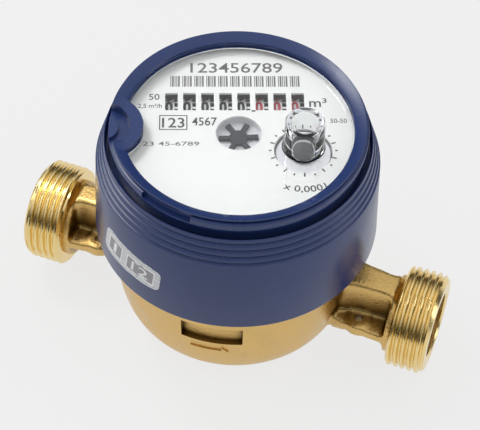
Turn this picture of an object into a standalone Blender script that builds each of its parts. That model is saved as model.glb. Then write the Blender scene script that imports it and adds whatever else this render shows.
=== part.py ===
"""Single-jet water meter: brass body, turning register head and geared roller counter.

The pipe lies along X, the base of the body is at Z = 0 and the register axis is Z.
Everything in the head is drawn with its dial upright and then turned by HEAD_TURN.
All sizes are in metres.
"""
import math

import bpy
import bmesh
from mathutils import Matrix, Vector

# Brass body
BODY_LENGTH = 0.110
PIPE_HEIGHT = 0.0155
THREAD_RADIUS = 0.01322
THREAD_LENGTH = 0.0100
THREAD_CHAMFER = 0.0011
THREAD_BACK_BEVEL = 0.0007
PORT_RADIUS = 0.0086
PORT_DEPTH = 0.0100
COLLAR_RADIUS = 0.0102
COLLAR_LENGTH = 0.0016
NECK_WIDTH = 0.0094
NECK_TOP = 0.0127
NECK_FALL = 0.0014
NECK_BOTTOM = 0.0097
NECK_START = 0.0005
NECK_END_OVERLAP = 0.0005
NECK_TAPER = 0.72
CHANNEL_WIDTH = 0.0050
CHANNEL_HEIGHT = 0.0150
CHANNEL_SKEW = math.radians(3.5)
WEB_WIDTH = 0.0200
WEB_THICKNESS = 0.0030
WEB_ROOT = 0.0030
SEAL_X = 0.0360
SEAL_Y = -0.0063
SEAL_HOLE_RADIUS = 0.0011
SEAL_BOSS_RADIUS = 0.0037
SEAL_BOSS_RISE = 0.0007
CHAMBER_RADIUS = 0.0312
CHAMBER_EDGE_RADIUS = 0.0100
CHAMBER_EDGE_HEIGHT = 0.0169
FOOT_RADIUS = 0.0172
FOOT_BEVEL = 0.0011
FOOT_BEVEL_RISE = 0.0006
CAVITY_RADIUS = 0.0230
CAVITY_FLOOR = 0.0040
CONE_WALL = 0.0025
SEAT_HEIGHT = 0.0272
SEAT_RADIUS = 0.0276
BODY_TOP = 0.0399
CLAMP_GROOVE_HEIGHT = 0.0370
CLAMP_GROOVE_WIDTH = 0.0018
CLAMP_GROOVE_DEPTH = 0.0010
PANEL_X = (-0.0125, -0.0026)
PANEL_TOP = 0.0256
PANEL_BOTTOM = 0.0170
PANEL_FLAT_INSET = 0.0004

# Clearances, and how far joined solids and cutters reach past a face
GAP = 0.0003
RUN_GAP = 0.0004
PIN_PLAY = 0.0002
SOCKET_PLAY = 0.00015
BOND = 0.0001
OVERLAP = 0.0002
CUT_MARGIN = 0.0010
THROUGH = 0.0050

# Wet side
O_RING_RADIUS = 0.0260
O_RING_THICKNESS = 0.0015
O_RING_GROOVE = 0.0020
PLATE_THICKNESS = 0.0030
DOME_RADIUS = 0.0085
DOME_WALL = 0.0014
DOME_TOP = 0.0360
DOME_FILLET = 0.0016
DOME_EDGE = 0.0008
DOME_INNER_EDGE = 0.0006
DOME_FLAT = 0.0018
CLAMP_RING_HEIGHT = 0.0052
CLAMP_RING_INNER = 0.0200
CLAMP_RING_SLOTS = 6
CLAMP_RING_BEVEL = 0.0006
SLOT_WIDTH = 0.0040
SLOT_REACH = 0.0030
SLOT_DEPTH = 0.0020
IMPELLER_RADIUS = 0.0205
IMPELLER_BOTTOM = 0.0080
IMPELLER_HEIGHT = 0.0150
IMPELLER_BLADES = 8
BLADE_THICKNESS = 0.0012
IMPELLER_HUB_RADIUS = 0.0036
IMPELLER_WEB = 0.0014
SPINDLE_RADIUS = 0.0014
WET_MAGNET_RADIUS = 0.0060
WET_MAGNET_HEIGHT = 0.0034
WET_MAGNET_HEADROOM = 0.0012
HUB_SHOULDER = 0.0012
SPINDLE_TIP = 0.0006
WEB_REACH = 0.62
BLADE_ROOT = 0.80
PIVOT_RADIUS = 0.0008
PIVOT_HEIGHT = 0.0023
PIVOT_ROOT = 0.0013
PIVOT_SOCKET_DEPTH = 0.0016
PIVOT_CUP_DEPTH = 0.0012
STRAINER_LENGTH = 0.0060
STRAINER_WALL = 0.0008
STRAINER_TAPER = 0.0016
STRAINER_SLOTS = 4
STRAINER_SLOT_WIDTH = 0.0014
STRAINER_FLANGE = 0.0010
STRAINER_SLOT_SHARE = 0.85
STRAINER_SLOT_LEAST = 0.0010

# Casing
HEAD_TURN = math.radians(21.2)
SKIRT_RIM_HEIGHT = 0.0360
SKIRT_RIM_RADIUS = 0.0355
SKIRT_TOP_HEIGHT = 0.0590
SKIRT_TOP_RADIUS = 0.0346
SHOULDER_HEIGHT = 0.0658
SHOULDER_RADIUS = 0.0324
SHOULDER_STEPS = 4
STEP_LEDGE = 0.0003
STEP_LEDGE_RISE = 0.0001
RIM_BEVEL = 0.0004
WALL_RUN = 0.0020
LIP_SLOPE = 0.0006
CASING_WALL = 0.0021
LEDGE_HEIGHT = 0.0625
LEDGE_THICKNESS = 0.0022

# Bezel ring, lens and dial
RING_BAND_RADIUS = 0.0312
RING_EDGE_RADIUS = 0.0306
RING_TOP = 0.0708
RING_DISH = 0.0013
DIAL_OPENING_RADIUS = 0.0277
RING_GROOVE_RADIUS = 0.0300
RING_GROOVE_DROP = 0.0007
RING_STEP = 0.0001
RING_BEVEL = 0.0003
DISH_EDGE = 0.0002
BAND_TOP = 0.0696
BAND_HEIGHT = 0.0023
RING_BODY_RADIUS = 0.0306
HINGE_X = -0.0327
BULGE_RADIUS = 0.0099
POCKET_RADIUS = 0.0069
POCKET_BOSS_RADIUS = 0.0039
POCKET_BOSS_RISE = 0.0010
POCKET_FLOOR = 0.0004
BULGE_TRIM = 0.0012
LID_SLOT_DEPTH = 0.0004
LID_SLOT_RISE = 0.0007
SLOT_RUNOUT = 0.0003
LID_SLOT_ANGLES = (math.radians(-137.0), math.radians(-112.0))
LIP_SLOT_ANGLES = (math.radians(-137.0), math.radians(-118.0))
LENS_TOP = 0.0682
FLANGE_RADIUS = 0.0291
FLANGE_THICKNESS = 0.0011
TUBE_HEIGHT = 0.0088
TUBE_RADIUS = 0.0049
TUBE_BORE_RADIUS = 0.0033
TUBE_FLOOR = 0.0008
TUBE_ROOT = 0.0005
POINTER_X = 0.0153
POINTER_Y = -0.0056
DIAL_TOP = 0.0656
DIAL_THICKNESS = 0.0006
DIAL_RADIUS = 0.0284
WINDOW_WIDTH = 0.0031
WINDOW_HEIGHT = 0.0051
STAR_WINDOW_RADIUS = 0.0055
POINTER_WINDOW_RADIUS = 0.0070
GASKET_WIDTH = 0.0005

# Register
CUP_RADIUS = 0.0293
CUP_WALL = 0.0014
CUP_FLOOR = 0.0402
CUP_FLOOR_THICKNESS = 0.0015
WELL_RADIUS = 0.0110
WELL_WALL = 0.0012
WELL_BOTTOM = 0.0364
DRUM_COUNT = 8
RED_DRUMS = 3
DRUM_PITCH = 0.0044
DRUM_RADIUS = 0.0070
DRUM_DROP = 0.0017
DRUM_ROW_X = -0.0008
DRUM_ROW_Y = 0.0106
DRUM_RIM_WIDTH = 0.0026
DRUM_TOOTH_WIDTH = 0.0012
DRUM_TEETH = 20
DRUM_MODULE = 0.00063
CARRY_TEETH = 8
CARRY_ANGLE = math.radians(-58.0)
CARRY_WIDTH = 0.0010
CARRY_PLAY = 0.0001
AXLE_RADIUS = 0.0010
PLATE_LEVEL = 0.0627
MOVEMENT_PLATE_THICKNESS = 0.0004
MOVEMENT_PLATE_RADIUS = 0.0266
MOVEMENT_PLATE_EDGE_Y = 0.0054
PILLARS = ((0.0120, -0.0225), (-0.0120, -0.0200), (-0.0226, 0.0015))
PILLAR_RADIUS = 0.0014
CRADLE_THICKNESS = 0.0009
CRADLE_DROP = 0.0045
CHEEK_THICKNESS = 0.0009
CHEEK_WIDTH = 0.0038
CHEEK_RISE = 0.0020
CHEEK_CORNER = 0.0018
BED_FRONT = 0.0016
BED_BACK = 0.0012
FOOT_PILLAR_RADIUS = 0.0016
FOOT_PILLAR_SHARE = 0.90
FOOT_PILLAR_BACK = 0.0010

# Gear train
TRAIN_MODULE = 0.0005
SMALL_TEETH = 8
LARGE_TEETH = 40
GEAR_WIDTH = 0.0009
FINE_TEETH = 18
TOOTH_TIP = 0.75
TOOTH_ROOT = 1.20
TOOTH_FLAT = 0.07
STAGE_A = 0.0464
STAGE_B = 0.0482
STAGE_C = 0.0504
ARBOR_RADIUS = 0.0008
ARBOR_SEAT = 0.0003
WELL_ARBOR_SEAT = 0.0002
SOCKET_DEPTH = 0.0005
PINION_ROOT = 0.0002
DRY_MAGNET_RADIUS = 0.0075
DRY_MAGNET_HEIGHT = 0.0032
STAR_LEVEL = 0.0634
STAR_ARMS = 6
STAR_HUB_RADIUS = 0.00225
STAR_TIP_RADIUS = 0.0048
STAR_ARM_WIDTH = 0.0012
STAR_THICKNESS = 0.0008
STAR_TURN = math.radians(3.0)
POINTER_DISC_RADIUS = 0.0066
POINTER_DISC_THICKNESS = 0.0005
POINTER_ARBOR_DROP = 0.0012
POINTER_BOSS_WALL = 0.0010
POINTER_BOSS_LENGTH = 0.0011
POINTER_HUB_BEVEL = 0.0003
POINTER_HUB_RADIUS = 0.0035
POINTER_HUB_HEIGHT = 0.0014
WORM_GEAR_TEETH = 24
WORM_PINION_TEETH = 12
WORM_X = 0.0187
WORM_WHEEL_TEETH = 20
WORM_WHEEL_RADIUS = 0.0060
WORM_WHEEL_WIDTH = 0.0018
WORM_TURNS = 3.0
WORM_TOOTH_HEIGHT = 0.0005
WORM_RIDGE = 0.00075
WORM_RIDGE_FOOT = 0.30
WORM_FLANK = 0.16
WORM_START = 0.25
SHELF_THICKNESS = 0.0007
SHELF_HALF_WIDTH = 0.0026
SHELF_ROOT = 0.0004

# Facets round a full circle
LARGE_FACETS = 36
THREAD_FACETS = 28
BOSS_FACETS = 14
PLATE_ARC_STEPS = 20
CHAMBER_EDGE_STEPS = 4
SECTOR_STEPS = 8
WORM_FACETS = 9
WORM_ROWS_PER_TURN = 5
HIDDEN_FACETS = 18
MEDIUM_FACETS = 20
SMALL_FACETS = 10
PIN_FACETS = 8
O_RING_SIDES = 6
DRUM_FACETS = 16

# Values that follow from those above
HALF_LENGTH = BODY_LENGTH / 2.0
THREAD_START = HALF_LENGTH - THREAD_LENGTH
DRUM_ROW_Z = DIAL_TOP - DIAL_THICKNESS - DRUM_DROP - DRUM_RADIUS
WORM_SPACING = TRAIN_MODULE * (WORM_GEAR_TEETH + WORM_PINION_TEETH) / 2.0
WORM_Y = POINTER_Y + math.sqrt(WORM_SPACING ** 2 - (WORM_X - POINTER_X) ** 2)
WORM_PITCH_RADIUS = DRUM_ROW_Y - WORM_Y - WORM_WHEEL_RADIUS
WORM_LEAD = 2.0 * math.pi * WORM_WHEEL_RADIUS / WORM_WHEEL_TEETH
CUP_INNER = CUP_RADIUS - CUP_WALL
CUP_FLOOR_TOP = CUP_FLOOR + CUP_FLOOR_THICKNESS
DIAL_BOTTOM = DIAL_TOP - DIAL_THICKNESS
CUP_TOP = DIAL_BOTTOM - GAP
FLANGE_BOTTOM = DIAL_TOP + GAP
FLANGE_TOP = FLANGE_BOTTOM + FLANGE_THICKNESS
PRESSURE_PLATE_BOTTOM = SEAT_HEIGHT + 2.0 * GAP
PRESSURE_PLATE_TOP = PRESSURE_PLATE_BOTTOM + PLATE_THICKNESS
CARRY_DISTANCE = DRUM_MODULE * (DRUM_TEETH + CARRY_TEETH) / 2.0 + CARRY_PLAY
CARRY_Y = DRUM_ROW_Y + CARRY_DISTANCE * math.cos(CARRY_ANGLE)
CARRY_Z = DRUM_ROW_Z + CARRY_DISTANCE * math.sin(CARRY_ANGLE)
CRADLE_LEVEL = CARRY_Z - CRADLE_DROP


def clear_scene():
    """Remove whatever the scene holds, so that the model starts from nothing."""
    for item in list(bpy.data.objects):
        bpy.data.objects.remove(item, do_unlink=True)


def material(name, colour, roughness, metallic=0.0, transmission=0.0):
    """A Principled material, made once for each name."""
    found = bpy.data.materials.get(name)
    if found:
        return found
    made = bpy.data.materials.new(name)
    made.use_nodes = True
    shader = made.node_tree.nodes["Principled BSDF"]
    shader.inputs["Base Color"].default_value = (*colour, 1.0)
    shader.inputs["Roughness"].default_value = roughness
    shader.inputs["Metallic"].default_value = metallic
    shader.inputs["Transmission Weight"].default_value = transmission
    return made


def brass():
    return material("cast_brass", (0.60, 0.42, 0.17), 0.45, 1.0)


def blue_plastic():
    return material("blue_plastic", (0.045, 0.065, 0.17), 0.42)


def clear_plastic():
    return material("clear_plastic", (0.95, 0.97, 0.97), 0.05, 0.0, 1.0)


def white_plastic():
    return material("white_plastic", (0.85, 0.85, 0.84), 0.45)


def black_plastic():
    return material("black_plastic", (0.03, 0.03, 0.035), 0.45)


def grey_plastic():
    return material("grey_plastic", (0.50, 0.50, 0.50), 0.45)


def natural_plastic():
    return material("natural_plastic", (0.78, 0.76, 0.70), 0.5)


def red_plastic():
    return material("red_plastic", (0.62, 0.04, 0.06), 0.45)


def magnet_ferrite():
    return material("ferrite", (0.05, 0.05, 0.055), 0.6, 0.3)


def steel():
    return material("steel", (0.62, 0.62, 0.62), 0.3, 1.0)


def black_rubber():
    return material("black_rubber", (0.02, 0.02, 0.02), 0.8)


def finish(shape, name, look):
    """Turn a bmesh into a named object, shaded smooth with sharp edges kept."""
    bmesh.ops.recalc_face_normals(shape, faces=shape.faces)
    mesh = bpy.data.meshes.new(name)
    shape.to_mesh(mesh)
    shape.free()
    made = bpy.data.objects.new(name, mesh)
    made.data.materials.append(look)
    bpy.context.collection.objects.link(made)
    mesh.shade_smooth()
    mesh.set_sharp_from_angle(angle=math.radians(35.0))
    return made


def revolve(name, profile, look, facets=LARGE_FACETS):
    """Turn a closed outline of (radius, height) points about Z into a solid."""
    shape = bmesh.new()
    rings = []
    for radius, height in profile:
        if radius < 1e-7:
            rings.append([shape.verts.new((0.0, 0.0, height))])
            continue
        ring = []
        for step in range(facets):
            angle = 2.0 * math.pi * step / facets
            ring.append(shape.verts.new((radius * math.cos(angle), radius * math.sin(angle), height)))
        rings.append(ring)
    for index, lower in enumerate(rings):
        upper = rings[(index + 1) % len(rings)]
        if len(lower) == 1 and len(upper) == 1:
            continue
        for step in range(facets):
            after = (step + 1) % facets
            if len(lower) == 1:
                shape.faces.new((lower[0], upper[step], upper[after]))
            elif len(upper) == 1:
                shape.faces.new((lower[step], lower[after], upper[0]))
            else:
                shape.faces.new((lower[step], lower[after], upper[after], upper[step]))
    return finish(shape, name, look)


def extrude(name, outline, bottom, top, look):
    """Raise a flat outline of (x, y) points into a prism between two heights."""
    shape = bmesh.new()
    low = [shape.verts.new((x, y, bottom)) for x, y in outline]
    high = [shape.verts.new((x, y, top)) for x, y in outline]
    shape.faces.new(list(reversed(low)))
    shape.faces.new(high)
    for index in range(len(outline)):
        after = (index + 1) % len(outline)
        shape.faces.new((low[index], low[after], high[after], high[index]))
    return finish(shape, name, look)


def loft(name, first, second, look):
    """Join two matching loops of (x, y, z) points into a closed solid."""
    shape = bmesh.new()
    start = [shape.verts.new(point) for point in first]
    end = [shape.verts.new(point) for point in second]
    shape.faces.new(list(reversed(start)))
    shape.faces.new(end)
    for index in range(len(first)):
        after = (index + 1) % len(first)
        shape.faces.new((start[index], start[after], end[after], end[index]))
    return finish(shape, name, look)


def cylinder(name, radius, bottom, top, look, facets=MEDIUM_FACETS):
    return revolve(name, [(0.0, bottom), (radius, bottom), (radius, top), (0.0, top)], look, facets)


def box(name, low, high, look):
    outline = [(low[0], low[1]), (high[0], low[1]), (high[0], high[1]), (low[0], high[1])]
    return extrude(name, outline, low[2], high[2], look)


def shift(made, x=0.0, y=0.0, z=0.0):
    made.data.transform(Matrix.Translation((x, y, z)))
    return made


def turn(made, angle, axis="Z"):
    made.data.transform(Matrix.Rotation(angle, 4, axis))
    return made


def combine(base, others, operation):
    """Add or take away other solids with exact booleans, and drop the tools."""
    for other in others:
        change = base.modifiers.new(operation.lower(), "BOOLEAN")
        change.operation = operation
        change.solver = "EXACT"
        change.object = other
        bpy.context.view_layer.update()
        graph = bpy.context.evaluated_depsgraph_get()
        result = bpy.data.meshes.new_from_object(base.evaluated_get(graph))
        base.modifiers.clear()
        base.data = result
        tidy = bmesh.new()
        tidy.from_mesh(result)
        bmesh.ops.remove_doubles(tidy, verts=tidy.verts, dist=1e-7)
        tidy.to_mesh(result)
        tidy.free()
        bpy.data.objects.remove(other, do_unlink=True)
    base.data.set_sharp_from_angle(angle=math.radians(35.0))
    return base


def unite(base, others):
    return combine(base, others, "UNION")


def cut(base, others):
    return combine(base, others, "DIFFERENCE")


def gear_outline(teeth, module, phase=0.0, flat_tips=True):
    """Straight-flanked teeth, thinner than their gaps; the tips are flat or pointed."""
    pitch_radius = teeth * module / 2.0
    root = pitch_radius - TOOTH_ROOT * module
    tip = pitch_radius + TOOTH_TIP * module
    step = 2.0 * math.pi / teeth
    points = []
    for tooth in range(teeth):
        middle = phase + tooth * step
        corners = ((tip, -TOOTH_FLAT), (tip, TOOTH_FLAT)) if flat_tips else ((tip, 0.0),)
        for radius, share in corners + ((root, 0.5),):
            angle = middle + share * step
            points.append((radius * math.cos(angle), radius * math.sin(angle)))
    return points


def gear(name, teeth, module, bottom, look, width=GEAR_WIDTH, phase=0.0):
    """A spur gear; a fine wheel gets pointed teeth, a small pinion flat ones."""
    outline = gear_outline(teeth, module, phase, teeth < FINE_TEETH)
    return extrude(name, outline, bottom, bottom + width, look)


def arc(centre, radius, start, end, steps):
    """Points on an arc of a turned outline, with angles in degrees from the radial direction."""
    points = []
    for step in range(steps + 1):
        angle = math.radians(start + (end - start) * step / steps)
        points.append((centre[0] + radius * math.cos(angle), centre[1] + radius * math.sin(angle)))
    return points


def body_chamber():
    """The bowl of the body: a flat foot, a 45 degree cone, a round edge and a clamp groove."""
    edge_centre = (CHAMBER_RADIUS - CHAMBER_EDGE_RADIUS, CHAMBER_EDGE_HEIGHT)
    edge = arc(edge_centre, CHAMBER_EDGE_RADIUS, -45.0, 0.0, CHAMBER_EDGE_STEPS)
    groove_bottom = CLAMP_GROOVE_HEIGHT
    groove_top = CLAMP_GROOVE_HEIGHT + CLAMP_GROOVE_WIDTH
    outline = [(0.0, 0.0), (FOOT_RADIUS, 0.0), (FOOT_RADIUS + FOOT_BEVEL, FOOT_BEVEL_RISE)]
    outline += edge
    outline += [
        (CHAMBER_RADIUS, groove_bottom),
        (CHAMBER_RADIUS - CLAMP_GROOVE_DEPTH, groove_bottom),
        (CHAMBER_RADIUS - CLAMP_GROOVE_DEPTH, groove_top),
        (CHAMBER_RADIUS, groove_top),
        (CHAMBER_RADIUS, BODY_TOP),
        (0.0, BODY_TOP),
    ]
    return revolve("brass_body", outline, brass())


def pipe_solid(side):
    """Neck, collar and threaded end on one side; side is 1 for the outlet and -1 for the inlet."""
    half = NECK_WIDTH / 2.0
    inner_x = side * (CAVITY_RADIUS + NECK_START)
    outer_x = side * (THREAD_START - COLLAR_LENGTH + NECK_END_OVERLAP)
    inner_loop = []
    outer_loop = []
    for y, z in ((-half, -1.0), (half, -1.0), (half, 1.0), (-half, 1.0)):
        rise = NECK_TOP if z > 0 else NECK_BOTTOM
        inner_loop.append((inner_x, y, PIPE_HEIGHT + z * rise))
        outer_loop.append((outer_x, NECK_TAPER * y, PIPE_HEIGHT + z * (NECK_TOP - NECK_FALL)))
    neck = loft("neck", inner_loop, outer_loop, brass())
    outline = [
        (0.0, THREAD_START - COLLAR_LENGTH),
        (COLLAR_RADIUS, THREAD_START - COLLAR_LENGTH),
        (COLLAR_RADIUS, THREAD_START),
        (THREAD_RADIUS - THREAD_BACK_BEVEL, THREAD_START),
        (THREAD_RADIUS, THREAD_START + THREAD_BACK_BEVEL),
        (THREAD_RADIUS, HALF_LENGTH - THREAD_CHAMFER),
        (THREAD_RADIUS - THREAD_CHAMFER, HALF_LENGTH),
        (0.0, HALF_LENGTH),
    ]
    end = revolve("threaded_end", outline, brass(), THREAD_FACETS)
    turn(end, side * math.pi / 2.0, "Y")
    shift(end, z=PIPE_HEIGHT)
    return [neck, end]


def web_solid(side):
    """The web in the mould's parting plane, with the boss of the seal wire hole."""
    low_x, high_x = sorted((side * (CHAMBER_RADIUS - WEB_ROOT), side * (THREAD_START - OVERLAP)))
    half = WEB_THICKNESS / 2.0
    low = (low_x, -WEB_WIDTH / 2.0, PIPE_HEIGHT - half)
    high = (high_x, WEB_WIDTH / 2.0, PIPE_HEIGHT + half)
    plate = box("web", low, high, brass())
    rise = half + SEAL_BOSS_RISE
    boss = cylinder("seal_boss", SEAL_BOSS_RADIUS, PIPE_HEIGHT - rise, PIPE_HEIGHT + rise, brass(),
                    SMALL_FACETS)
    shift(boss, side * SEAL_X, SEAL_Y)
    return [plate, boss]


def body_cavity():
    """The measuring chamber, the seat of the pressure plate and the groove of its seal."""
    cone_radius = CAVITY_RADIUS
    floor_radius = FOOT_RADIUS + CONE_WALL / 2.0
    cone_height = CAVITY_FLOOR + cone_radius - floor_radius
    outline = [
        (0.0, CAVITY_FLOOR),
        (floor_radius, CAVITY_FLOOR),
        (cone_radius, cone_height),
        (cone_radius, SEAT_HEIGHT),
        (O_RING_RADIUS - O_RING_GROOVE / 2.0, SEAT_HEIGHT),
        (O_RING_RADIUS - O_RING_GROOVE / 2.0, SEAT_HEIGHT - O_RING_THICKNESS + GAP),
        (O_RING_RADIUS + O_RING_GROOVE / 2.0, SEAT_HEIGHT - O_RING_THICKNESS + GAP),
        (O_RING_RADIUS + O_RING_GROOVE / 2.0, SEAT_HEIGHT),
        (SEAT_RADIUS, SEAT_HEIGHT),
        (SEAT_RADIUS, BODY_TOP + CUT_MARGIN),
        (0.0, BODY_TOP + CUT_MARGIN),
    ]
    return revolve("cavity", outline, brass(), HIDDEN_FACETS)


def port_cuts(side):
    """Port bore, flat channel into the chamber and the upright seal wire hole."""
    depth = PORT_DEPTH
    bore = cylinder("bore", PORT_RADIUS, HALF_LENGTH - depth, HALF_LENGTH + CUT_MARGIN, brass())
    turn(bore, side * math.pi / 2.0, "Y")
    shift(bore, z=PIPE_HEIGHT)
    low_x, high_x = CAVITY_RADIUS - WEB_ROOT, HALF_LENGTH - depth + NECK_END_OVERLAP
    low = (low_x, -CHANNEL_WIDTH / 2.0, PIPE_HEIGHT - CHANNEL_HEIGHT / 2.0)
    high = (high_x, CHANNEL_WIDTH / 2.0, PIPE_HEIGHT + CHANNEL_HEIGHT / 2.0)
    channel = box("channel", low, high, brass())
    shift(channel, x=-high_x)
    turn(channel, CHANNEL_SKEW)
    shift(channel, x=high_x)
    if side < 0:
        turn(channel, math.pi)
    hole = cylinder("seal_hole", SEAL_HOLE_RADIUS, 0.0, 2.0 * PIPE_HEIGHT, brass(), SMALL_FACETS)
    shift(hole, side * SEAL_X, SEAL_Y)
    return [bore, channel, hole]


def brass_body():
    body = body_chamber()
    solids = pipe_solid(1) + pipe_solid(-1) + web_solid(1) + web_solid(-1)
    unite(body, solids)
    panel_face = -math.sqrt(CHAMBER_RADIUS ** 2 - PANEL_X[0] ** 2) + PANEL_FLAT_INSET
    panel_low = (PANEL_X[0], -CHAMBER_RADIUS - CUT_MARGIN, PANEL_BOTTOM)
    panel_high = (PANEL_X[1], panel_face, PANEL_TOP)
    panel = box("panel", panel_low, panel_high, brass())
    socket = cylinder("pivot_socket", PIVOT_RADIUS + PIN_PLAY, CAVITY_FLOOR - PIVOT_SOCKET_DEPTH,
                      CAVITY_FLOOR + CUT_MARGIN, brass(), SMALL_FACETS)
    return cut(body, [body_cavity(), panel, socket] + port_cuts(1) + port_cuts(-1))


def inlet_strainer():
    """A slotted plastic thimble in the inlet port."""
    outer = PORT_RADIUS - GAP
    inner = outer - STRAINER_WALL
    start = HALF_LENGTH - PORT_DEPTH + GAP
    end = start + STRAINER_LENGTH
    foot = inner - STRAINER_TAPER
    outline = [
        (0.0, start), (foot, start), (outer, end - STRAINER_FLANGE), (outer, end), (inner, end),
        (inner, end - STRAINER_FLANGE), (foot - STRAINER_WALL, start + STRAINER_WALL),
        (0.0, start + STRAINER_WALL),
    ]
    strainer = revolve("inlet_strainer", outline, natural_plastic(), MEDIUM_FACETS)
    slots = []
    for index in range(STRAINER_SLOTS):
        spread = (index - (STRAINER_SLOTS - 1) / 2.0) * 2.0 * STRAINER_SLOT_WIDTH
        reach = STRAINER_SLOT_SHARE * math.sqrt(max((foot - STRAINER_WALL) ** 2 - spread ** 2, 0.0))
        if reach < STRAINER_SLOT_LEAST:
            continue
        low = (spread - STRAINER_SLOT_WIDTH / 2.0, -reach, start - CUT_MARGIN)
        high = (spread + STRAINER_SLOT_WIDTH / 2.0, reach, start + STRAINER_WALL + CUT_MARGIN)
        slots.append(box("slot", low, high, natural_plastic()))
    cut(strainer, slots)
    turn(strainer, -math.pi / 2.0, "Y")
    return shift(strainer, z=PIPE_HEIGHT)


def bottom_pivot():
    outline = [
        (0.0, CAVITY_FLOOR - PIVOT_ROOT), (PIVOT_RADIUS, CAVITY_FLOOR - PIVOT_ROOT),
        (PIVOT_RADIUS, CAVITY_FLOOR + PIVOT_HEIGHT - PIVOT_RADIUS),
        (0.0, CAVITY_FLOOR + PIVOT_HEIGHT),
    ]
    return revolve("bottom_pivot", outline, steel(), SMALL_FACETS)


def chamber_o_ring():
    """The seal in its groove, held down by the pressure plate."""
    radius = O_RING_THICKNESS / 2.0
    outline = []
    for step in range(O_RING_SIDES):
        angle = 2.0 * math.pi * (step + 0.5) / O_RING_SIDES
        outline.append((O_RING_RADIUS + radius * math.cos(angle), radius * math.sin(angle)))
    level = SEAT_HEIGHT - O_RING_THICKNESS + 2.0 * GAP + radius
    return shift(revolve("chamber_o_ring", outline, black_rubber(), HIDDEN_FACETS), z=level)


def pressure_plate():
    """The plate over the wet chamber with the thin dome between the two magnets."""
    inner_dome = DOME_RADIUS - DOME_WALL
    top_inside = DOME_TOP - DOME_WALL
    plate_radius = SEAT_RADIUS - GAP
    outline = [
        (inner_dome, PRESSURE_PLATE_BOTTOM), (plate_radius, PRESSURE_PLATE_BOTTOM),
        (plate_radius, PRESSURE_PLATE_TOP), (DOME_RADIUS + DOME_FILLET, PRESSURE_PLATE_TOP),
        (DOME_RADIUS, PRESSURE_PLATE_TOP + DOME_FILLET), (DOME_RADIUS, DOME_TOP - DOME_EDGE),
        (DOME_RADIUS - DOME_EDGE, DOME_TOP), (0.0, DOME_TOP),
        (0.0, top_inside), (SPINDLE_RADIUS + DOME_FLAT, top_inside),
        (inner_dome, top_inside - DOME_INNER_EDGE),
    ]
    return revolve("pressure_plate", outline, natural_plastic(), HIDDEN_FACETS)


def clamp_ring():
    """The threaded brass ring that clamps the pressure plate, with its key slots."""
    outer = SEAT_RADIUS - GAP
    bottom = PRESSURE_PLATE_TOP + GAP
    top = bottom + CLAMP_RING_HEIGHT
    outline = [(CLAMP_RING_INNER, bottom), (outer, bottom), (outer, top - CLAMP_RING_BEVEL),
               (outer - CLAMP_RING_BEVEL, top), (CLAMP_RING_INNER, top)]
    ring = revolve("clamp_ring", outline, brass(), HIDDEN_FACETS)
    slots = []
    for index in range(CLAMP_RING_SLOTS):
        low = (CLAMP_RING_INNER - CUT_MARGIN, -SLOT_WIDTH / 2.0, top - SLOT_DEPTH)
        high = (CLAMP_RING_INNER + SLOT_REACH, SLOT_WIDTH / 2.0, top + CUT_MARGIN)
        slot = box("slot", low, high, brass())
        slots.append(turn(slot, 2.0 * math.pi * index / CLAMP_RING_SLOTS))
    return cut(ring, slots)


def impeller_top():
    return IMPELLER_BOTTOM + IMPELLER_HEIGHT


def wet_magnet_bottom():
    return DOME_TOP - DOME_WALL - WET_MAGNET_HEADROOM - WET_MAGNET_HEIGHT


def blade_star():
    """All the blades as one upright prism: a spoke outline with a point between neighbours."""
    half = BLADE_THICKNESS / 2.0
    step = 2.0 * math.pi / IMPELLER_BLADES
    inner = IMPELLER_HUB_RADIUS * BLADE_ROOT
    outline = []
    for blade in range(IMPELLER_BLADES):
        angle = (blade + 0.5) * step
        along = (math.cos(angle), math.sin(angle))
        across = (-math.sin(angle), math.cos(angle))
        for side in (-half, half):
            outline.append((IMPELLER_RADIUS * along[0] + side * across[0],
                            IMPELLER_RADIUS * along[1] + side * across[1]))
        between = angle + step / 2.0
        outline.append((inner * math.cos(between), inner * math.sin(between)))
    return extrude("blades", outline, IMPELLER_BOTTOM, impeller_top(), white_plastic())


def impeller():
    """Radial blades on a hub, with a web at half height and the spindle of the magnet."""
    magnet_bottom = wet_magnet_bottom()
    spindle_top = DOME_TOP - DOME_WALL - GAP
    pivot_top = CAVITY_FLOOR + PIVOT_HEIGHT
    cup = PIVOT_RADIUS + GAP
    outline = [
        (cup, pivot_top - PIVOT_CUP_DEPTH), (IMPELLER_HUB_RADIUS, pivot_top - PIVOT_CUP_DEPTH),
        (IMPELLER_HUB_RADIUS, impeller_top()), (SPINDLE_RADIUS + HUB_SHOULDER, magnet_bottom - GAP),
        (SPINDLE_RADIUS, magnet_bottom - GAP), (SPINDLE_RADIUS, spindle_top - SPINDLE_TIP),
        (SPINDLE_RADIUS - SPINDLE_TIP, spindle_top), (0.0, spindle_top),
        (0.0, pivot_top + GAP), (cup, pivot_top - PIVOT_RADIUS + GAP),
    ]
    wheel = revolve("impeller", outline, white_plastic(), SMALL_FACETS)
    middle = IMPELLER_BOTTOM + IMPELLER_HEIGHT / 2.0
    web = cylinder("web", IMPELLER_RADIUS * WEB_REACH, middle - IMPELLER_WEB / 2.0,
                   middle + IMPELLER_WEB / 2.0, white_plastic(), MEDIUM_FACETS)
    return unite(wheel, [blade_star(), web])


def impeller_magnet():
    bottom = wet_magnet_bottom()
    inner = SPINDLE_RADIUS + GAP
    outline = [(inner, bottom), (WET_MAGNET_RADIUS, bottom),
               (WET_MAGNET_RADIUS, bottom + WET_MAGNET_HEIGHT), (inner, bottom + WET_MAGNET_HEIGHT)]
    return revolve("impeller_magnet", outline, magnet_ferrite(), MEDIUM_FACETS)


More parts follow.
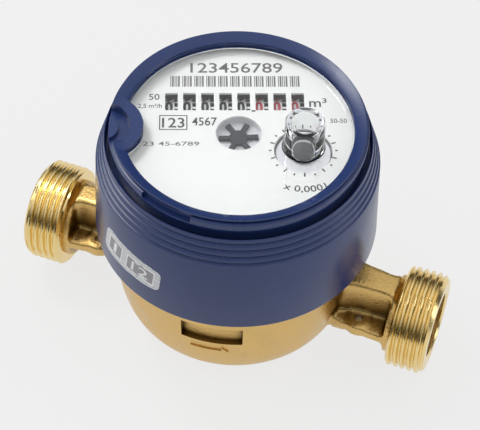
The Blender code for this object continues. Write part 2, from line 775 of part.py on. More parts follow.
def shoulder_outline():
    """Terraces from the top of the skirt up to the shoulder's inner edge."""
    points = []
    rise = (SHOULDER_HEIGHT - SKIRT_TOP_HEIGHT) / SHOULDER_STEPS
    run = (SKIRT_TOP_RADIUS - SHOULDER_RADIUS) / SHOULDER_STEPS
    for step in range(SHOULDER_STEPS):
        radius = SKIRT_TOP_RADIUS - step * run
        height = SKIRT_TOP_HEIGHT + step * rise
        points.append((radius, height))
        points.append((radius - STEP_LEDGE, height + STEP_LEDGE_RISE))
    return points


def casing():
    """Skirt, stepped shoulder, the ledge under the bezel ring and the lip in the body's groove."""
    lip_radius = CHAMBER_RADIUS - CLAMP_GROOVE_DEPTH + GAP
    lip_bottom = CLAMP_GROOVE_HEIGHT + GAP
    lip_top = CLAMP_GROOVE_HEIGHT + CLAMP_GROOVE_WIDTH - GAP
    lower_inner = SKIRT_RIM_RADIUS - CASING_WALL
    upper_inner = SKIRT_TOP_RADIUS - CASING_WALL
    ledge_radius = CUP_RADIUS + RUN_GAP
    ledge_bottom = LEDGE_HEIGHT - LEDGE_THICKNESS
    gap_radius = SHOULDER_RADIUS - STEP_LEDGE
    outline = [(SKIRT_RIM_RADIUS - RIM_BEVEL, SKIRT_RIM_HEIGHT),
               (SKIRT_RIM_RADIUS, SKIRT_RIM_HEIGHT + RIM_BEVEL)]
    outline += shoulder_outline()
    outline += [
        (SHOULDER_RADIUS, SHOULDER_HEIGHT), (gap_radius, SHOULDER_HEIGHT - STEP_LEDGE_RISE),
        (gap_radius, LEDGE_HEIGHT), (ledge_radius, LEDGE_HEIGHT), (ledge_radius, ledge_bottom),
        (upper_inner, ledge_bottom - WALL_RUN),
        (lower_inner, lip_top + WALL_RUN), (CHAMBER_RADIUS + RUN_GAP, lip_top), (lip_radius, lip_top),
        (lip_radius, lip_bottom),
        (lower_inner, lip_bottom - LIP_SLOPE), (lower_inner, SKIRT_RIM_HEIGHT),
    ]
    return revolve("casing", outline, blue_plastic(), LARGE_FACETS)


def ring_sector(inner, outer, angles, bottom, top, steps=SECTOR_STEPS):
    """A cutter shaped as a sector of a ring between two angles."""
    outline = []
    for step in range(steps + 1):
        angle = angles[0] + (angles[1] - angles[0]) * step / steps
        outline.append((outer * math.cos(angle), outer * math.sin(angle)))
    for step in range(steps + 1):
        angle = angles[1] + (angles[0] - angles[1]) * step / steps
        outline.append((inner * math.cos(angle), inner * math.sin(angle)))
    return extrude("sector", outline, bottom, top, blue_plastic())


def bezel_ring():
    """The ring that holds the lens: dished top, lid slot, hinge bulge and hinge pocket."""
    ring_bottom = LEDGE_HEIGHT + GAP
    dish_inner = RING_TOP - RING_DISH
    band_bottom = BAND_TOP - BAND_HEIGHT
    groove_top = RING_TOP - RING_GROOVE_DROP
    outline = [
        (FLANGE_RADIUS + RUN_GAP, ring_bottom), (RING_BODY_RADIUS, ring_bottom),
        (RING_BODY_RADIUS, band_bottom), (RING_BAND_RADIUS, band_bottom + RING_STEP),
        (RING_BAND_RADIUS, BAND_TOP), (RING_GROOVE_RADIUS, BAND_TOP + RING_STEP),
        (RING_GROOVE_RADIUS, groove_top - RING_STEP), (RING_EDGE_RADIUS, groove_top),
        (RING_EDGE_RADIUS, RING_TOP - RING_BEVEL), (RING_EDGE_RADIUS - RING_BEVEL, RING_TOP),
        (DIAL_OPENING_RADIUS + DISH_EDGE, dish_inner), (DIAL_OPENING_RADIUS, dish_inner - RING_BEVEL),
        (DIAL_OPENING_RADIUS, FLANGE_TOP + GAP), (FLANGE_RADIUS + RUN_GAP, FLANGE_TOP + GAP),
    ]
    ring = revolve("bezel_ring", outline, blue_plastic(), LARGE_FACETS)
    blank = cylinder("bulge", BULGE_RADIUS, FLANGE_TOP + GAP, dish_inner, blue_plastic(), LARGE_FACETS)
    shift(blank, HINGE_X)
    inside = cylinder("inside", DIAL_OPENING_RADIUS + BULGE_TRIM, FLANGE_TOP, RING_TOP, blue_plastic(),
                      LARGE_FACETS)
    combine(blank, [inside], "INTERSECT")
    unite(ring, [blank])
    floor = band_bottom + POCKET_FLOOR
    pocket = cylinder("pocket", POCKET_RADIUS, floor, RING_TOP + CUT_MARGIN, blue_plastic(), MEDIUM_FACETS)
    shift(pocket, HINGE_X)
    past_band = RING_BAND_RADIUS + CUT_MARGIN
    lower_slot = ring_sector(RING_BODY_RADIUS - LID_SLOT_DEPTH, past_band, LID_SLOT_ANGLES,
                             band_bottom + LID_SLOT_RISE, BAND_TOP + SLOT_RUNOUT)
    upper_slot = ring_sector(RING_GROOVE_RADIUS, past_band, LIP_SLOT_ANGLES,
                             BAND_TOP - OVERLAP, groove_top + SLOT_RUNOUT)
    cut(ring, [pocket, lower_slot, upper_slot])
    boss = cylinder("pocket_boss", POCKET_BOSS_RADIUS, floor - BOND, floor + POCKET_BOSS_RISE,
                    blue_plastic(), BOSS_FACETS)
    shift(boss, HINGE_X)
    limit = cylinder("limit", RING_BAND_RADIUS - BOND, floor - CUT_MARGIN, RING_TOP, blue_plastic(),
                     LARGE_FACETS)
    combine(boss, [limit], "INTERSECT")
    return unite(ring, [boss])


def lens():
    """Clear lens: a disc notched for the hinge, a flange under the ring and the sensor tube."""
    disc_radius = DIAL_OPENING_RADIUS - GAP
    disc = cylinder("lens", disc_radius, FLANGE_BOTTOM + OVERLAP, LENS_TOP, clear_plastic(), LARGE_FACETS)
    notch = cylinder("notch", BULGE_RADIUS + GAP, FLANGE_TOP, LENS_TOP + CUT_MARGIN, clear_plastic(),
                     LARGE_FACETS)
    shift(notch, HINGE_X)
    cut(disc, [notch])
    flange = cylinder("flange", FLANGE_RADIUS, FLANGE_BOTTOM, FLANGE_TOP, clear_plastic(), LARGE_FACETS)
    tube_top = LENS_TOP + TUBE_HEIGHT
    tube = cylinder("tube", TUBE_RADIUS, FLANGE_BOTTOM + TUBE_ROOT, tube_top, clear_plastic(), MEDIUM_FACETS)
    shift(tube, POINTER_X, POINTER_Y)
    unite(disc, [flange, tube])
    bore = cylinder("bore", TUBE_BORE_RADIUS, FLANGE_BOTTOM + TUBE_FLOOR, tube_top + CUT_MARGIN,
                    clear_plastic(), MEDIUM_FACETS)
    shift(bore, POINTER_X, POINTER_Y)
    return cut(disc, [bore])


def lens_gasket():
    outer = CUP_RADIUS - BOND
    inner = outer - GASKET_WIDTH
    level = DIAL_BOTTOM
    outline = [(inner, level), (outer, level), (outer, DIAL_TOP), (inner, DIAL_TOP)]
    return revolve("lens_gasket", outline, black_rubber(), HIDDEN_FACETS)


def drum_x(index):
    """Middle of drum number index; 0 is the fastest drum, at the right of the row."""
    return DRUM_ROW_X + DRUM_PITCH * ((DRUM_COUNT - 1) / 2.0 - index)


def dial_plate():
    """White plate with a window for each drum, the leak star and the pointer."""
    plate = cylinder("dial_plate", DIAL_RADIUS, DIAL_BOTTOM, DIAL_TOP, white_plastic(), HIDDEN_FACETS)
    below, above = DIAL_BOTTOM - CUT_MARGIN, DIAL_TOP + CUT_MARGIN
    holes = []
    for index in range(DRUM_COUNT):
        low = (drum_x(index) - WINDOW_WIDTH / 2.0, DRUM_ROW_Y - WINDOW_HEIGHT / 2.0, below)
        high = (drum_x(index) + WINDOW_WIDTH / 2.0, DRUM_ROW_Y + WINDOW_HEIGHT / 2.0, above)
        holes.append(box("window", low, high, white_plastic()))
    star = cylinder("star_window", STAR_WINDOW_RADIUS, below, above, white_plastic(), MEDIUM_FACETS)
    pointer = cylinder("pointer_window", POINTER_WINDOW_RADIUS, below, above, white_plastic(), MEDIUM_FACETS)
    shift(pointer, POINTER_X, POINTER_Y)
    return cut(plate, holes + [star, pointer])


def register_cup():
    """The cup that holds the movement, with the magnet well and the shelf under the worm."""
    well_inner = WELL_RADIUS - WELL_WALL
    outline = [
        (0.0, WELL_BOTTOM), (WELL_RADIUS, WELL_BOTTOM), (WELL_RADIUS, CUP_FLOOR),
        (CUP_RADIUS, CUP_FLOOR), (CUP_RADIUS, CUP_TOP), (CUP_INNER, CUP_TOP),
        (CUP_INNER, CUP_FLOOR_TOP), (well_inner, CUP_FLOOR_TOP),
        (well_inner, WELL_BOTTOM + WELL_WALL), (0.0, WELL_BOTTOM + WELL_WALL),
    ]
    cup = revolve("register_cup", outline, natural_plastic(), HIDDEN_FACETS)
    shelf_top = STAGE_C - RUN_GAP
    shelf_low = (WORM_X - SHELF_HALF_WIDTH, WORM_Y - SHELF_HALF_WIDTH, shelf_top - SHELF_THICKNESS)
    shelf_high = (CUP_INNER + SHELF_ROOT, WORM_Y + SHELF_HALF_WIDTH, shelf_top)
    shelf = box("shelf", shelf_low, shelf_high, natural_plastic())
    unite(cup, [shelf])
    radius = ARBOR_RADIUS + SOCKET_PLAY
    places = [(WORM_X, WORM_Y, shelf_top - SHELF_THICKNESS - CUT_MARGIN, shelf_top),
              (0.0, 0.0, WELL_BOTTOM + WELL_WALL - SOCKET_DEPTH, WELL_BOTTOM + WELL_WALL)]
    for x, y in (transfer_place(), (POINTER_X, POINTER_Y)):
        places.append((x, y, CUP_FLOOR_TOP - SOCKET_DEPTH, CUP_FLOOR_TOP))
    sockets = []
    for x, y, bottom, top in places:
        socket = cylinder("socket", radius, bottom, top + CUT_MARGIN, natural_plastic(), SMALL_FACETS)
        sockets.append(shift(socket, x, y))
    return cut(cup, sockets)


def transfer_place():
    """The transfer arbor lies one wheel and one pinion away from the centre and the pointer."""
    spacing = TRAIN_MODULE * (LARGE_TEETH + SMALL_TEETH) / 2.0
    span = math.hypot(POINTER_X, POINTER_Y)
    rise = math.sqrt(spacing ** 2 - (span / 2.0) ** 2)
    return (POINTER_X / 2.0 + rise * POINTER_Y / span, POINTER_Y / 2.0 - rise * POINTER_X / span)


def movement_plate():
    """Upper bearing plate with its pillars; it ends in front of the drums."""
    outline = []
    half_angle = math.asin(MOVEMENT_PLATE_EDGE_Y / MOVEMENT_PLATE_RADIUS)
    for step in range(PLATE_ARC_STEPS + 1):
        angle = math.pi - half_angle + (math.pi + 2.0 * half_angle) * step / PLATE_ARC_STEPS
        outline.append((MOVEMENT_PLATE_RADIUS * math.cos(angle), MOVEMENT_PLATE_RADIUS * math.sin(angle)))
    top = PLATE_LEVEL + MOVEMENT_PLATE_THICKNESS
    plate = extrude("movement_plate", outline, PLATE_LEVEL, top, white_plastic())
    pillars = []
    for x, y in PILLARS:
        pillar = cylinder("pillar", PILLAR_RADIUS, CUP_FLOOR_TOP + GAP, PLATE_LEVEL + BOND, white_plastic(),
                          PIN_FACETS)
        pillars.append(shift(pillar, x, y))
    unite(plate, pillars)
    holes = []
    places = [(0.0, 0.0), transfer_place(), (POINTER_X, POINTER_Y), (WORM_X, WORM_Y)]
    for x, y in places:
        hole = cylinder("hole", ARBOR_RADIUS + PIN_PLAY, PLATE_LEVEL - CUT_MARGIN, top + CUT_MARGIN,
                        white_plastic(), SMALL_FACETS)
        holes.append(shift(hole, x, y))
    return cut(plate, holes)


def drum_cradle():
    """Bed and end cheeks that carry the drum axle and the carry pinion axle."""
    half_row = DRUM_PITCH * DRUM_COUNT / 2.0
    left = DRUM_ROW_X - half_row - RUN_GAP - CHEEK_THICKNESS
    right = WORM_X + WORM_WHEEL_WIDTH / 2.0 + RUN_GAP
    bed_low = (left, DRUM_ROW_Y - BED_FRONT, CRADLE_LEVEL)
    bed_high = (right + CHEEK_THICKNESS, CARRY_Y + BED_BACK, CRADLE_LEVEL + CRADLE_THICKNESS)
    bed = box("drum_cradle", bed_low, bed_high, white_plastic())
    solids = []
    for x in (left, right):
        low_y, high_y = DRUM_ROW_Y - CHEEK_WIDTH / 2.0, CARRY_Y + CHEEK_WIDTH / 2.0
        corners = [(x, low_y, CRADLE_LEVEL), (x, high_y, CRADLE_LEVEL),
                   (x, high_y, CARRY_Z + CHEEK_RISE), (x, DRUM_ROW_Y + CHEEK_CORNER, DRUM_ROW_Z + CHEEK_RISE),
                   (x, low_y, DRUM_ROW_Z + CHEEK_RISE)]
        far = [(px + CHEEK_THICKNESS, py, pz) for px, py, pz in corners]
        solids.append(loft("cheek", corners, far, white_plastic()))
        foot_x = x + CHEEK_THICKNESS / 2.0
        foot = cylinder("foot", FOOT_PILLAR_RADIUS, CUP_FLOOR_TOP + GAP, CRADLE_LEVEL + OVERLAP,
                        white_plastic(), PIN_FACETS)
        solids.append(shift(foot, foot_x * FOOT_PILLAR_SHARE, DRUM_ROW_Y + FOOT_PILLAR_BACK))
    unite(bed, solids)
    bores = []
    for y, z in ((DRUM_ROW_Y, DRUM_ROW_Z), (CARRY_Y, CARRY_Z)):
        bore = cylinder("bore", AXLE_RADIUS + GAP, left - CUT_MARGIN, right + CHEEK_THICKNESS + CUT_MARGIN,
                        white_plastic(), SMALL_FACETS)
        turn(bore, math.pi / 2.0, "Y")
        bores.append(shift(bore, y=y, z=z))
    return cut(bed, bores)


def axle(name, y, z):
    """A steel axle through both cheeks of the cradle."""
    half_row = DRUM_PITCH * DRUM_COUNT / 2.0
    left = DRUM_ROW_X - half_row - RUN_GAP - CHEEK_THICKNESS
    right = WORM_X + WORM_WHEEL_WIDTH / 2.0 + RUN_GAP + CHEEK_THICKNESS
    rod = cylinder(name, AXLE_RADIUS, left, right, steel(), SMALL_FACETS)
    turn(rod, math.pi / 2.0, "Y")
    return shift(rod, y=y, z=z)


def number_drum(index):
    """A roller: a smooth number rim and a twenty-tooth flange at its right side."""
    look = red_plastic() if index < RED_DRUMS else white_plastic()
    half_rim = DRUM_RIM_WIDTH / 2.0
    rim = cylinder("drum_%d" % (index + 1), DRUM_RADIUS, -half_rim, half_rim, look, DRUM_FACETS)
    shift(rim, z=-DRUM_TOOTH_WIDTH / 2.0)
    flange_bottom = half_rim - DRUM_TOOTH_WIDTH / 2.0
    flange = gear("flange", DRUM_TEETH, DRUM_MODULE, flange_bottom - BOND, look, DRUM_TOOTH_WIDTH + BOND)
    unite(rim, [flange])
    bore = cylinder("bore", AXLE_RADIUS + GAP, -THROUGH, THROUGH, look, PIN_FACETS)
    cut(rim, [bore])
    turn(rim, math.pi / 2.0, "Y")
    return shift(rim, x=drum_x(index))


def carry_pinion(index):
    """The pinion between drum index and the next slower drum to its left."""
    look = natural_plastic()
    towards = math.atan2(math.cos(CARRY_ANGLE), -math.sin(CARRY_ANGLE))
    follow = -tooth_offset(0.0, DRUM_TEETH, towards) * DRUM_TEETH / CARRY_TEETH
    phase = towards + math.pi + math.pi / CARRY_TEETH + follow
    pinion = gear("carry_pinion_%d" % (index + 1), CARRY_TEETH, DRUM_MODULE, -CARRY_WIDTH / 2.0, look,
                  CARRY_WIDTH, phase)
    bore = cylinder("bore", AXLE_RADIUS + PIN_PLAY, -THROUGH, THROUGH, look, PIN_FACETS)
    cut(pinion, [bore])
    turn(pinion, math.pi / 2.0, "Y")
    return shift(pinion, x=drum_x(index + 1) + DRUM_RIM_WIDTH / 2.0)


def worm_wheel():
    """Fixed to the fastest drum's right side; driven by the worm."""
    module = 2.0 * WORM_WHEEL_RADIUS / WORM_WHEEL_TEETH
    wheel = gear("worm_wheel", WORM_WHEEL_TEETH, module, -WORM_WHEEL_WIDTH / 2.0, white_plastic(),
                 WORM_WHEEL_WIDTH)
    bore = cylinder("bore", AXLE_RADIUS + GAP, -THROUGH, THROUGH, white_plastic(), SMALL_FACETS)
    cut(wheel, [bore])
    turn(wheel, math.pi / 2.0, "Y")
    return shift(wheel, x=WORM_X)


def arbor_shaft(name, bottom, top, look):
    return cylinder(name, ARBOR_RADIUS, bottom, top, look, PIN_FACETS)


def centre_arbor():
    """Shaft on the follower magnet with the first pinion of the train."""
    bottom = WELL_BOTTOM + WELL_WALL - WELL_ARBOR_SEAT
    shaft = arbor_shaft("centre_arbor", bottom, STAR_LEVEL - GAP, steel())
    pinion = gear("pinion", SMALL_TEETH, TRAIN_MODULE, STAGE_A, steel(), GEAR_WIDTH + PINION_ROOT)
    return unite(shaft, [pinion])


def follower_magnet():
    inner = ARBOR_RADIUS + GAP
    bottom = WELL_BOTTOM + WELL_WALL + RUN_GAP
    outline = [(inner, bottom), (DRY_MAGNET_RADIUS, bottom),
               (DRY_MAGNET_RADIUS, bottom + DRY_MAGNET_HEIGHT), (inner, bottom + DRY_MAGNET_HEIGHT)]
    return revolve("follower_magnet", outline, magnet_ferrite(), MEDIUM_FACETS)


def star_wheel():
    """The leak star: a round hub with square-ended arms, drawn as one outline."""
    half = STAR_ARM_WIDTH / 2.0
    step = 2.0 * math.pi / STAR_ARMS
    root = math.asin(half / STAR_HUB_RADIUS)
    outline = []
    for arm in range(STAR_ARMS):
        angle = arm * step + STAR_TURN
        for side in (-1.0, 1.0):
            x = STAR_TIP_RADIUS * math.cos(angle) - side * half * math.sin(angle)
            y = STAR_TIP_RADIUS * math.sin(angle) + side * half * math.cos(angle)
            hub_angle = angle + side * root
            hub = (STAR_HUB_RADIUS * math.cos(hub_angle), STAR_HUB_RADIUS * math.sin(hub_angle))
            outline += [hub, (x, y)] if side < 0 else [(x, y), hub]
        between = angle + step / 2.0
        outline.append((STAR_HUB_RADIUS * math.cos(between), STAR_HUB_RADIUS * math.sin(between)))
    return extrude("star_wheel", outline, STAR_LEVEL, STAR_LEVEL + STAR_THICKNESS, black_plastic())


def wheel_phase(centre, pinion_centre, teeth):
    """The turn that puts a tooth gap of a wheel on the line to its pinion's tooth."""
    towards = math.atan2(pinion_centre[1] - centre[1], pinion_centre[0] - centre[0])
    return towards + math.pi / teeth


def transfer_arbor():
    """Wheel driven by the centre pinion, and the pinion that drives the pointer wheel."""
    place = transfer_place()
    plate_top = PLATE_LEVEL + MOVEMENT_PLATE_THICKNESS
    shaft = arbor_shaft("transfer_arbor", CUP_FLOOR_TOP - ARBOR_SEAT, plate_top, natural_plastic())
    wheel = gear("wheel", LARGE_TEETH, TRAIN_MODULE, STAGE_A, natural_plastic(),
                 phase=wheel_phase(place, (0.0, 0.0), LARGE_TEETH) + centre_pinion_offset())
    pinion = gear("pinion", SMALL_TEETH, TRAIN_MODULE, STAGE_B, natural_plastic(), GEAR_WIDTH + PINION_ROOT)
    unite(shaft, [wheel, pinion])
    return shift(shaft, *place)


def tooth_offset(pinion_phase, teeth, towards):
    """How far a pinion's nearest tooth lies from the line of centres, as an angle."""
    step = 2.0 * math.pi / teeth
    offset = (pinion_phase - towards) % step
    return offset - step if offset > step / 2.0 else offset


def centre_pinion_offset():
    """Turn of the transfer wheel that follows the centre pinion's nearest tooth."""
    place = transfer_place()
    towards = math.atan2(place[1], place[0])
    return -tooth_offset(0.0, SMALL_TEETH, towards) * SMALL_TEETH / LARGE_TEETH


def pointer_arbor():
    """Wheel driven by the transfer pinion, and the wheel that drives the worm."""
    place = (POINTER_X, POINTER_Y)
    source = transfer_place()
    shaft = arbor_shaft("pointer_arbor", CUP_FLOOR_TOP - ARBOR_SEAT, DIAL_BOTTOM - POINTER_ARBOR_DROP,
                        natural_plastic())
    towards = math.atan2(place[1] - source[1], place[0] - source[0])
    follow = -tooth_offset(0.0, SMALL_TEETH, towards) * SMALL_TEETH / LARGE_TEETH
    wheel = gear("wheel", LARGE_TEETH, TRAIN_MODULE, STAGE_B, natural_plastic(),
                 phase=wheel_phase(place, source, LARGE_TEETH) + follow)
    drive = gear("drive", WORM_GEAR_TEETH, TRAIN_MODULE, STAGE_C, natural_plastic())
    unite(shaft, [wheel, drive])
    return shift(shaft, *place)


def pointer_disc():
    """The grey disc under the pointer window, pressed on the pointer arbor."""
    top = DIAL_BOTTOM - RUN_GAP
    under = top - POINTER_DISC_THICKNESS
    boss = ARBOR_RADIUS + POINTER_BOSS_WALL
    outline = [(ARBOR_RADIUS + GAP, top - POINTER_BOSS_LENGTH), (boss, top - POINTER_BOSS_LENGTH),
               (boss, under), (POINTER_DISC_RADIUS, under), (POINTER_DISC_RADIUS, top),
               (ARBOR_RADIUS + GAP, top)]
    return shift(revolve("pointer_disc", outline, grey_plastic(), MEDIUM_FACETS), POINTER_X, POINTER_Y)


def pointer_magnet():
    """The dark magnet on the pointer disc that a pulse sensor in the tube reads."""
    bottom = DIAL_BOTTOM - RUN_GAP + GAP
    top = min(bottom + POINTER_HUB_HEIGHT, FLANGE_BOTTOM + OVERLAP - RUN_GAP)
    outline = [(0.0, bottom), (POINTER_HUB_RADIUS, bottom), (POINTER_HUB_RADIUS, top - POINTER_HUB_BEVEL),
               (POINTER_HUB_RADIUS - POINTER_HUB_BEVEL, top), (0.0, top)]
    return shift(revolve("pointer_magnet", outline, black_plastic(), MEDIUM_FACETS), POINTER_X, POINTER_Y)


def worm_surface(root, tooth, lead, bottom, turns):
    """Radius of the worm: a trapezoid ridge that climbs one lead a turn, as a closed solid."""
    shape = bmesh.new()
    rows = int(turns * WORM_ROWS_PER_TURN)
    rings = []
    for row in range(rows + 1):
        height = bottom + turns * lead * row / rows
        ring = []
        for step in range(WORM_FACETS):
            angle = 2.0 * math.pi * step / WORM_FACETS
            place = ((height - DRUM_ROW_Z) / lead - angle / (2.0 * math.pi) - WORM_START) % 1.0
            distance = min(place, 1.0 - place)
            ridge = min(max((WORM_RIDGE_FOOT - distance) / WORM_FLANK, 0.0), 1.0)
            radius = root + tooth * ridge
            ring.append(shape.verts.new((radius * math.cos(angle), radius * math.sin(angle), height)))
        rings.append(ring)
    for lower, upper in zip(rings, rings[1:]):
        for step in range(WORM_FACETS):
            after = (step + 1) % WORM_FACETS
            shape.faces.new((lower[step], lower[after], upper[after], upper[step]))
    shape.faces.new(list(reversed(rings[0])))
    shape.faces.new(rings[-1])
    return finish(shape, "worm", steel())


def worm_arbor():
    """Pinion driven by the pointer arbor and the worm that turns the fastest drum."""
    place = (WORM_X, WORM_Y)
    source = (POINTER_X, POINTER_Y)
    towards = math.atan2(place[1] - source[1], place[0] - source[0])
    follow = -tooth_offset(0.0, WORM_GEAR_TEETH, towards) * WORM_GEAR_TEETH / WORM_PINION_TEETH
    plate_top = PLATE_LEVEL + MOVEMENT_PLATE_THICKNESS
    shaft = arbor_shaft("worm_arbor", STAGE_C - RUN_GAP - SHELF_THICKNESS, plate_top, steel())
    pinion = gear("pinion", WORM_PINION_TEETH, TRAIN_MODULE, STAGE_C, steel(),
                  phase=wheel_phase(place, source, WORM_PINION_TEETH) + follow)
    length = WORM_TURNS * WORM_LEAD
    worm = worm_surface(WORM_PITCH_RADIUS - WORM_TOOTH_HEIGHT, WORM_RIDGE, WORM_LEAD,
                        DRUM_ROW_Z - length / 2.0, WORM_TURNS)
    unite(shaft, [pinion, worm])
    return shift(shaft, *place)


def place_on_axis(made, point):
    """Move an object's origin to a point on its axis without moving its surface."""
    offset = Vector(point)
    made.data.transform(Matrix.Translation(-offset))
    made.location = offset
    return made


def build_wet_side():
    brass_body()
    inlet_strainer()
    bottom_pivot()
    chamber_o_ring()
    pressure_plate()
    clamp_ring()
    impeller()
    impeller_magnet()


def build_head():
    """Everything that turns with the head, drawn upright and then turned together."""
    head = bpy.data.objects.new("head_frame", None)
    bpy.context.collection.objects.link(head)
    still = [casing(), bezel_ring(), lens(), lens_gasket(), dial_plate(), register_cup(), movement_plate(),
             drum_cradle(), axle("drum_axle", DRUM_ROW_Y, DRUM_ROW_Z), axle("carry_axle", CARRY_Y, CARRY_Z)]
    moving = []
    for made in (centre_arbor(), follower_magnet(), star_wheel()):
        moving.append(place_on_axis(made, (0.0, 0.0, STAGE_A)))
    moving.append(place_on_axis(transfer_arbor(), (*transfer_place(), STAGE_A)))
    for made in (pointer_arbor(), pointer_disc(), pointer_magnet()):
        moving.append(place_on_axis(made, (POINTER_X, POINTER_Y, STAGE_B)))
    moving.append(place_on_axis(worm_arbor(), (WORM_X, WORM_Y, STAGE_C)))
    drums = [number_drum(index) for index in range(DRUM_COUNT)] + [worm_wheel()]
    for made in drums:
        shift(made, y=DRUM_ROW_Y, z=DRUM_ROW_Z)
        moving.append(place_on_axis(made, (0.0, DRUM_ROW_Y, DRUM_ROW_Z)))
    for index in range(DRUM_COUNT - 1):
        made = shift(carry_pinion(index), y=CARRY_Y, z=CARRY_Z)
        moving.append(place_on_axis(made, (0.0, CARRY_Y, CARRY_Z)))
    for made in still + moving:
        made.parent = head
    head.rotation_euler = (0.0, 0.0, HEAD_TURN)


def main():
    clear_scene()
    build_wet_side()
    build_head()
    bpy.context.view_layer.update()


if __name__ == "__main__":
    main()
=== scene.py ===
"""Water meter with a brass body, a turning blue head, a printed dial and a clear lens with a sensor tube.

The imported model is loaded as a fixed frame. Each operator dresses one piece of it, in metres, with numpy
surfaces whose formula is given in words, and the last one sets up the plain studio.
"""
import math

import bmesh
import bpy
import numpy as np
from mathutils import Matrix, Vector


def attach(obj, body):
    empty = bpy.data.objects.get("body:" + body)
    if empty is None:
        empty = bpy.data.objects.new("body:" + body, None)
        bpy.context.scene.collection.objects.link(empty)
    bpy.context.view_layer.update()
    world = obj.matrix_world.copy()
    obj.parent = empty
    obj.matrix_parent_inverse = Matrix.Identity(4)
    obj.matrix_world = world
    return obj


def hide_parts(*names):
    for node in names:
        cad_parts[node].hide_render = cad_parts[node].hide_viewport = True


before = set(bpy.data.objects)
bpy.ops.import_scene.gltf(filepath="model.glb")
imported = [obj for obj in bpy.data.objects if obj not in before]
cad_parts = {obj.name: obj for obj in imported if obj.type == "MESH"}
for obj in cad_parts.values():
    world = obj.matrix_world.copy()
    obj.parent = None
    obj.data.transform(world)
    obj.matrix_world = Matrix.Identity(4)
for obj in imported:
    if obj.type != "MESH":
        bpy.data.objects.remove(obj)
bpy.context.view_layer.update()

bl_info = {
    "name": "Water meter",
    "version": (1, 0, 0),
    "blender": (4, 5, 0),
    "location": "3D View > Sidebar > Water meter",
    "description": "Builds the visible pieces of a domestic water meter round its packed model",
    "category": "Add Mesh",
}

# The head is drawn with its dial upright and then turned by this angle
HEAD_TURN = math.radians(21.2)

# Columns and rows of the surfaces, round corners, merging, and how far cutters reach past what they cut
BODY_COLUMNS = 200
LARGE_COLUMNS = 220
LENS_COLUMNS = 160
MIDDLE_COLUMNS = 128
SMALL_COLUMNS = 96
BOSS_COLUMNS = 64
HOLE_COLUMNS = 40
SECTION_POINTS = 72
SECTOR_ROWS = 24
CORNER_STEPS = 3
CORNER_SHARE = 0.45
MERGE_DISTANCE = 1e-7
SLIVER = 1e-8
OVER = 0.001
CUT_PAST = 0.002

# Edges sharper than these angles in degrees stay sharp
CAST_CREASE = 50.0
CASING_CREASE = 60.0
FINE_CREASE = 40.0
MOULD_CREASE = 35.0
STAR_CREASE = 30.0

# Painted shade in the casting's corners: how far a corner feels its neighbour, and how dark it gets
HOLLOW_SHADE_REACH = 0.009
HOLLOW_SHADE_DARK = 0.72
HOLLOW_SHADE_SAMPLES = 8

# Brass body
PIPE_HEIGHT = 0.0155
HALF_LENGTH = 0.0550
THREAD_LENGTH = 0.0100
THREAD_START = HALF_LENGTH - THREAD_LENGTH
THREAD_CHAMFER = 0.0013
THREAD_BACK_BEVEL = 0.0005
THREAD_ROWS_A_TURN = 14.0
THREAD_ROOT_SHARE = 0.14
THREAD_FLANK_SHARE = 0.62
THREAD_SLACK = 0.0001
CHAMFER_ROWS = 8
PORT_RADIUS = 0.0086
PORT_BEVEL = 0.0004
COLLAR_RADIUS = 0.0102
COLLAR_LENGTH = 0.0016
COLLAR_BEVEL = 0.0008
CHAMBER_RADIUS = 0.0312
CONE_END = (0.0268, 0.0088)
FLANK_TOP = 0.0310
FLANK_SWELL = 0.95
FLANK_ROWS = 24
FOOT_RADIUS = 0.0172
FOOT_BEVEL = (0.0011, 0.0006)
CAVITY_RADIUS = 0.0230
CAVITY_FLOOR = 0.0040
CAVITY_BEVEL = 0.0046
SEAT_HEIGHT = 0.0272
SEAT_RADIUS = 0.0276
BODY_TOP = 0.0399
GROOVE_BOTTOM = 0.0370
GROOVE_TOP = 0.0388
GROOVE_DEPTH = 0.0010
NECK_HALF_WIDTH = 0.0047
NECK_TAPER = 0.72
NECK_TOP = 0.0127
NECK_BOTTOM = 0.0097
NECK_FALL = 0.0014
NECK_START = 0.0285
NECK_FLARE = 0.0008
NECK_FLARE_LENGTH = 0.0040
NECK_END_FLARE = 0.0012
NECK_END_FLARE_LENGTH = 0.0028
NECK_OVERLAP = 0.0005
NECK_POWERS = (9.0, 3.2)
NECK_ROWS = 40
WEB_HALF_WIDTH = 0.0100
WEB_HALF_THICKNESS = 0.0015
WEB_ROOT = 0.0270
WEB_ROOT_WIDTH = 0.0084
WEB_FLARE = 0.0005
WEB_FLARE_START = 0.0008
WEB_FLARE_LENGTH = 0.0035
WEB_POWER = 14.0
WEB_ROWS = 24
OVERLAP = 0.0002
SEAL_PLACE = (0.0360, -0.0063)
SEAL_BOSS_RADIUS = 0.0034
SEAL_BOSS_RISE = 0.0004
SEAL_BOSS_BEVEL = (0.0006, 0.0004)
SEAL_HOLE_RADIUS = 0.0011
SEAL_HOLE_Z = (0.010, 0.021)
CHANNEL = (0.0050, 0.0150)
CHANNEL_SKEW = math.radians(3.5)
SLOT_PAST = (0.003, 0.0005)
PANEL_ANGLES = (math.radians(-95.5), math.radians(-66.5))
PANEL_RADIUS = 0.0296
PANEL_Z = (0.0226, 0.0290)
RELAX_FACTOR = 0.5
RELAX_TURNS = 4

# Flow arrow
ARROW_TIP = 0.0050
ARROW_SHAFT = 0.0006
ARROW_BARB = 0.0018
ARROW_RISE = 0.00035
ARROW_SINK = 0.0004
ARROW_SLICES = (19, 9)
ARROW_PLACE = (math.radians(-82.0), 0.0192)

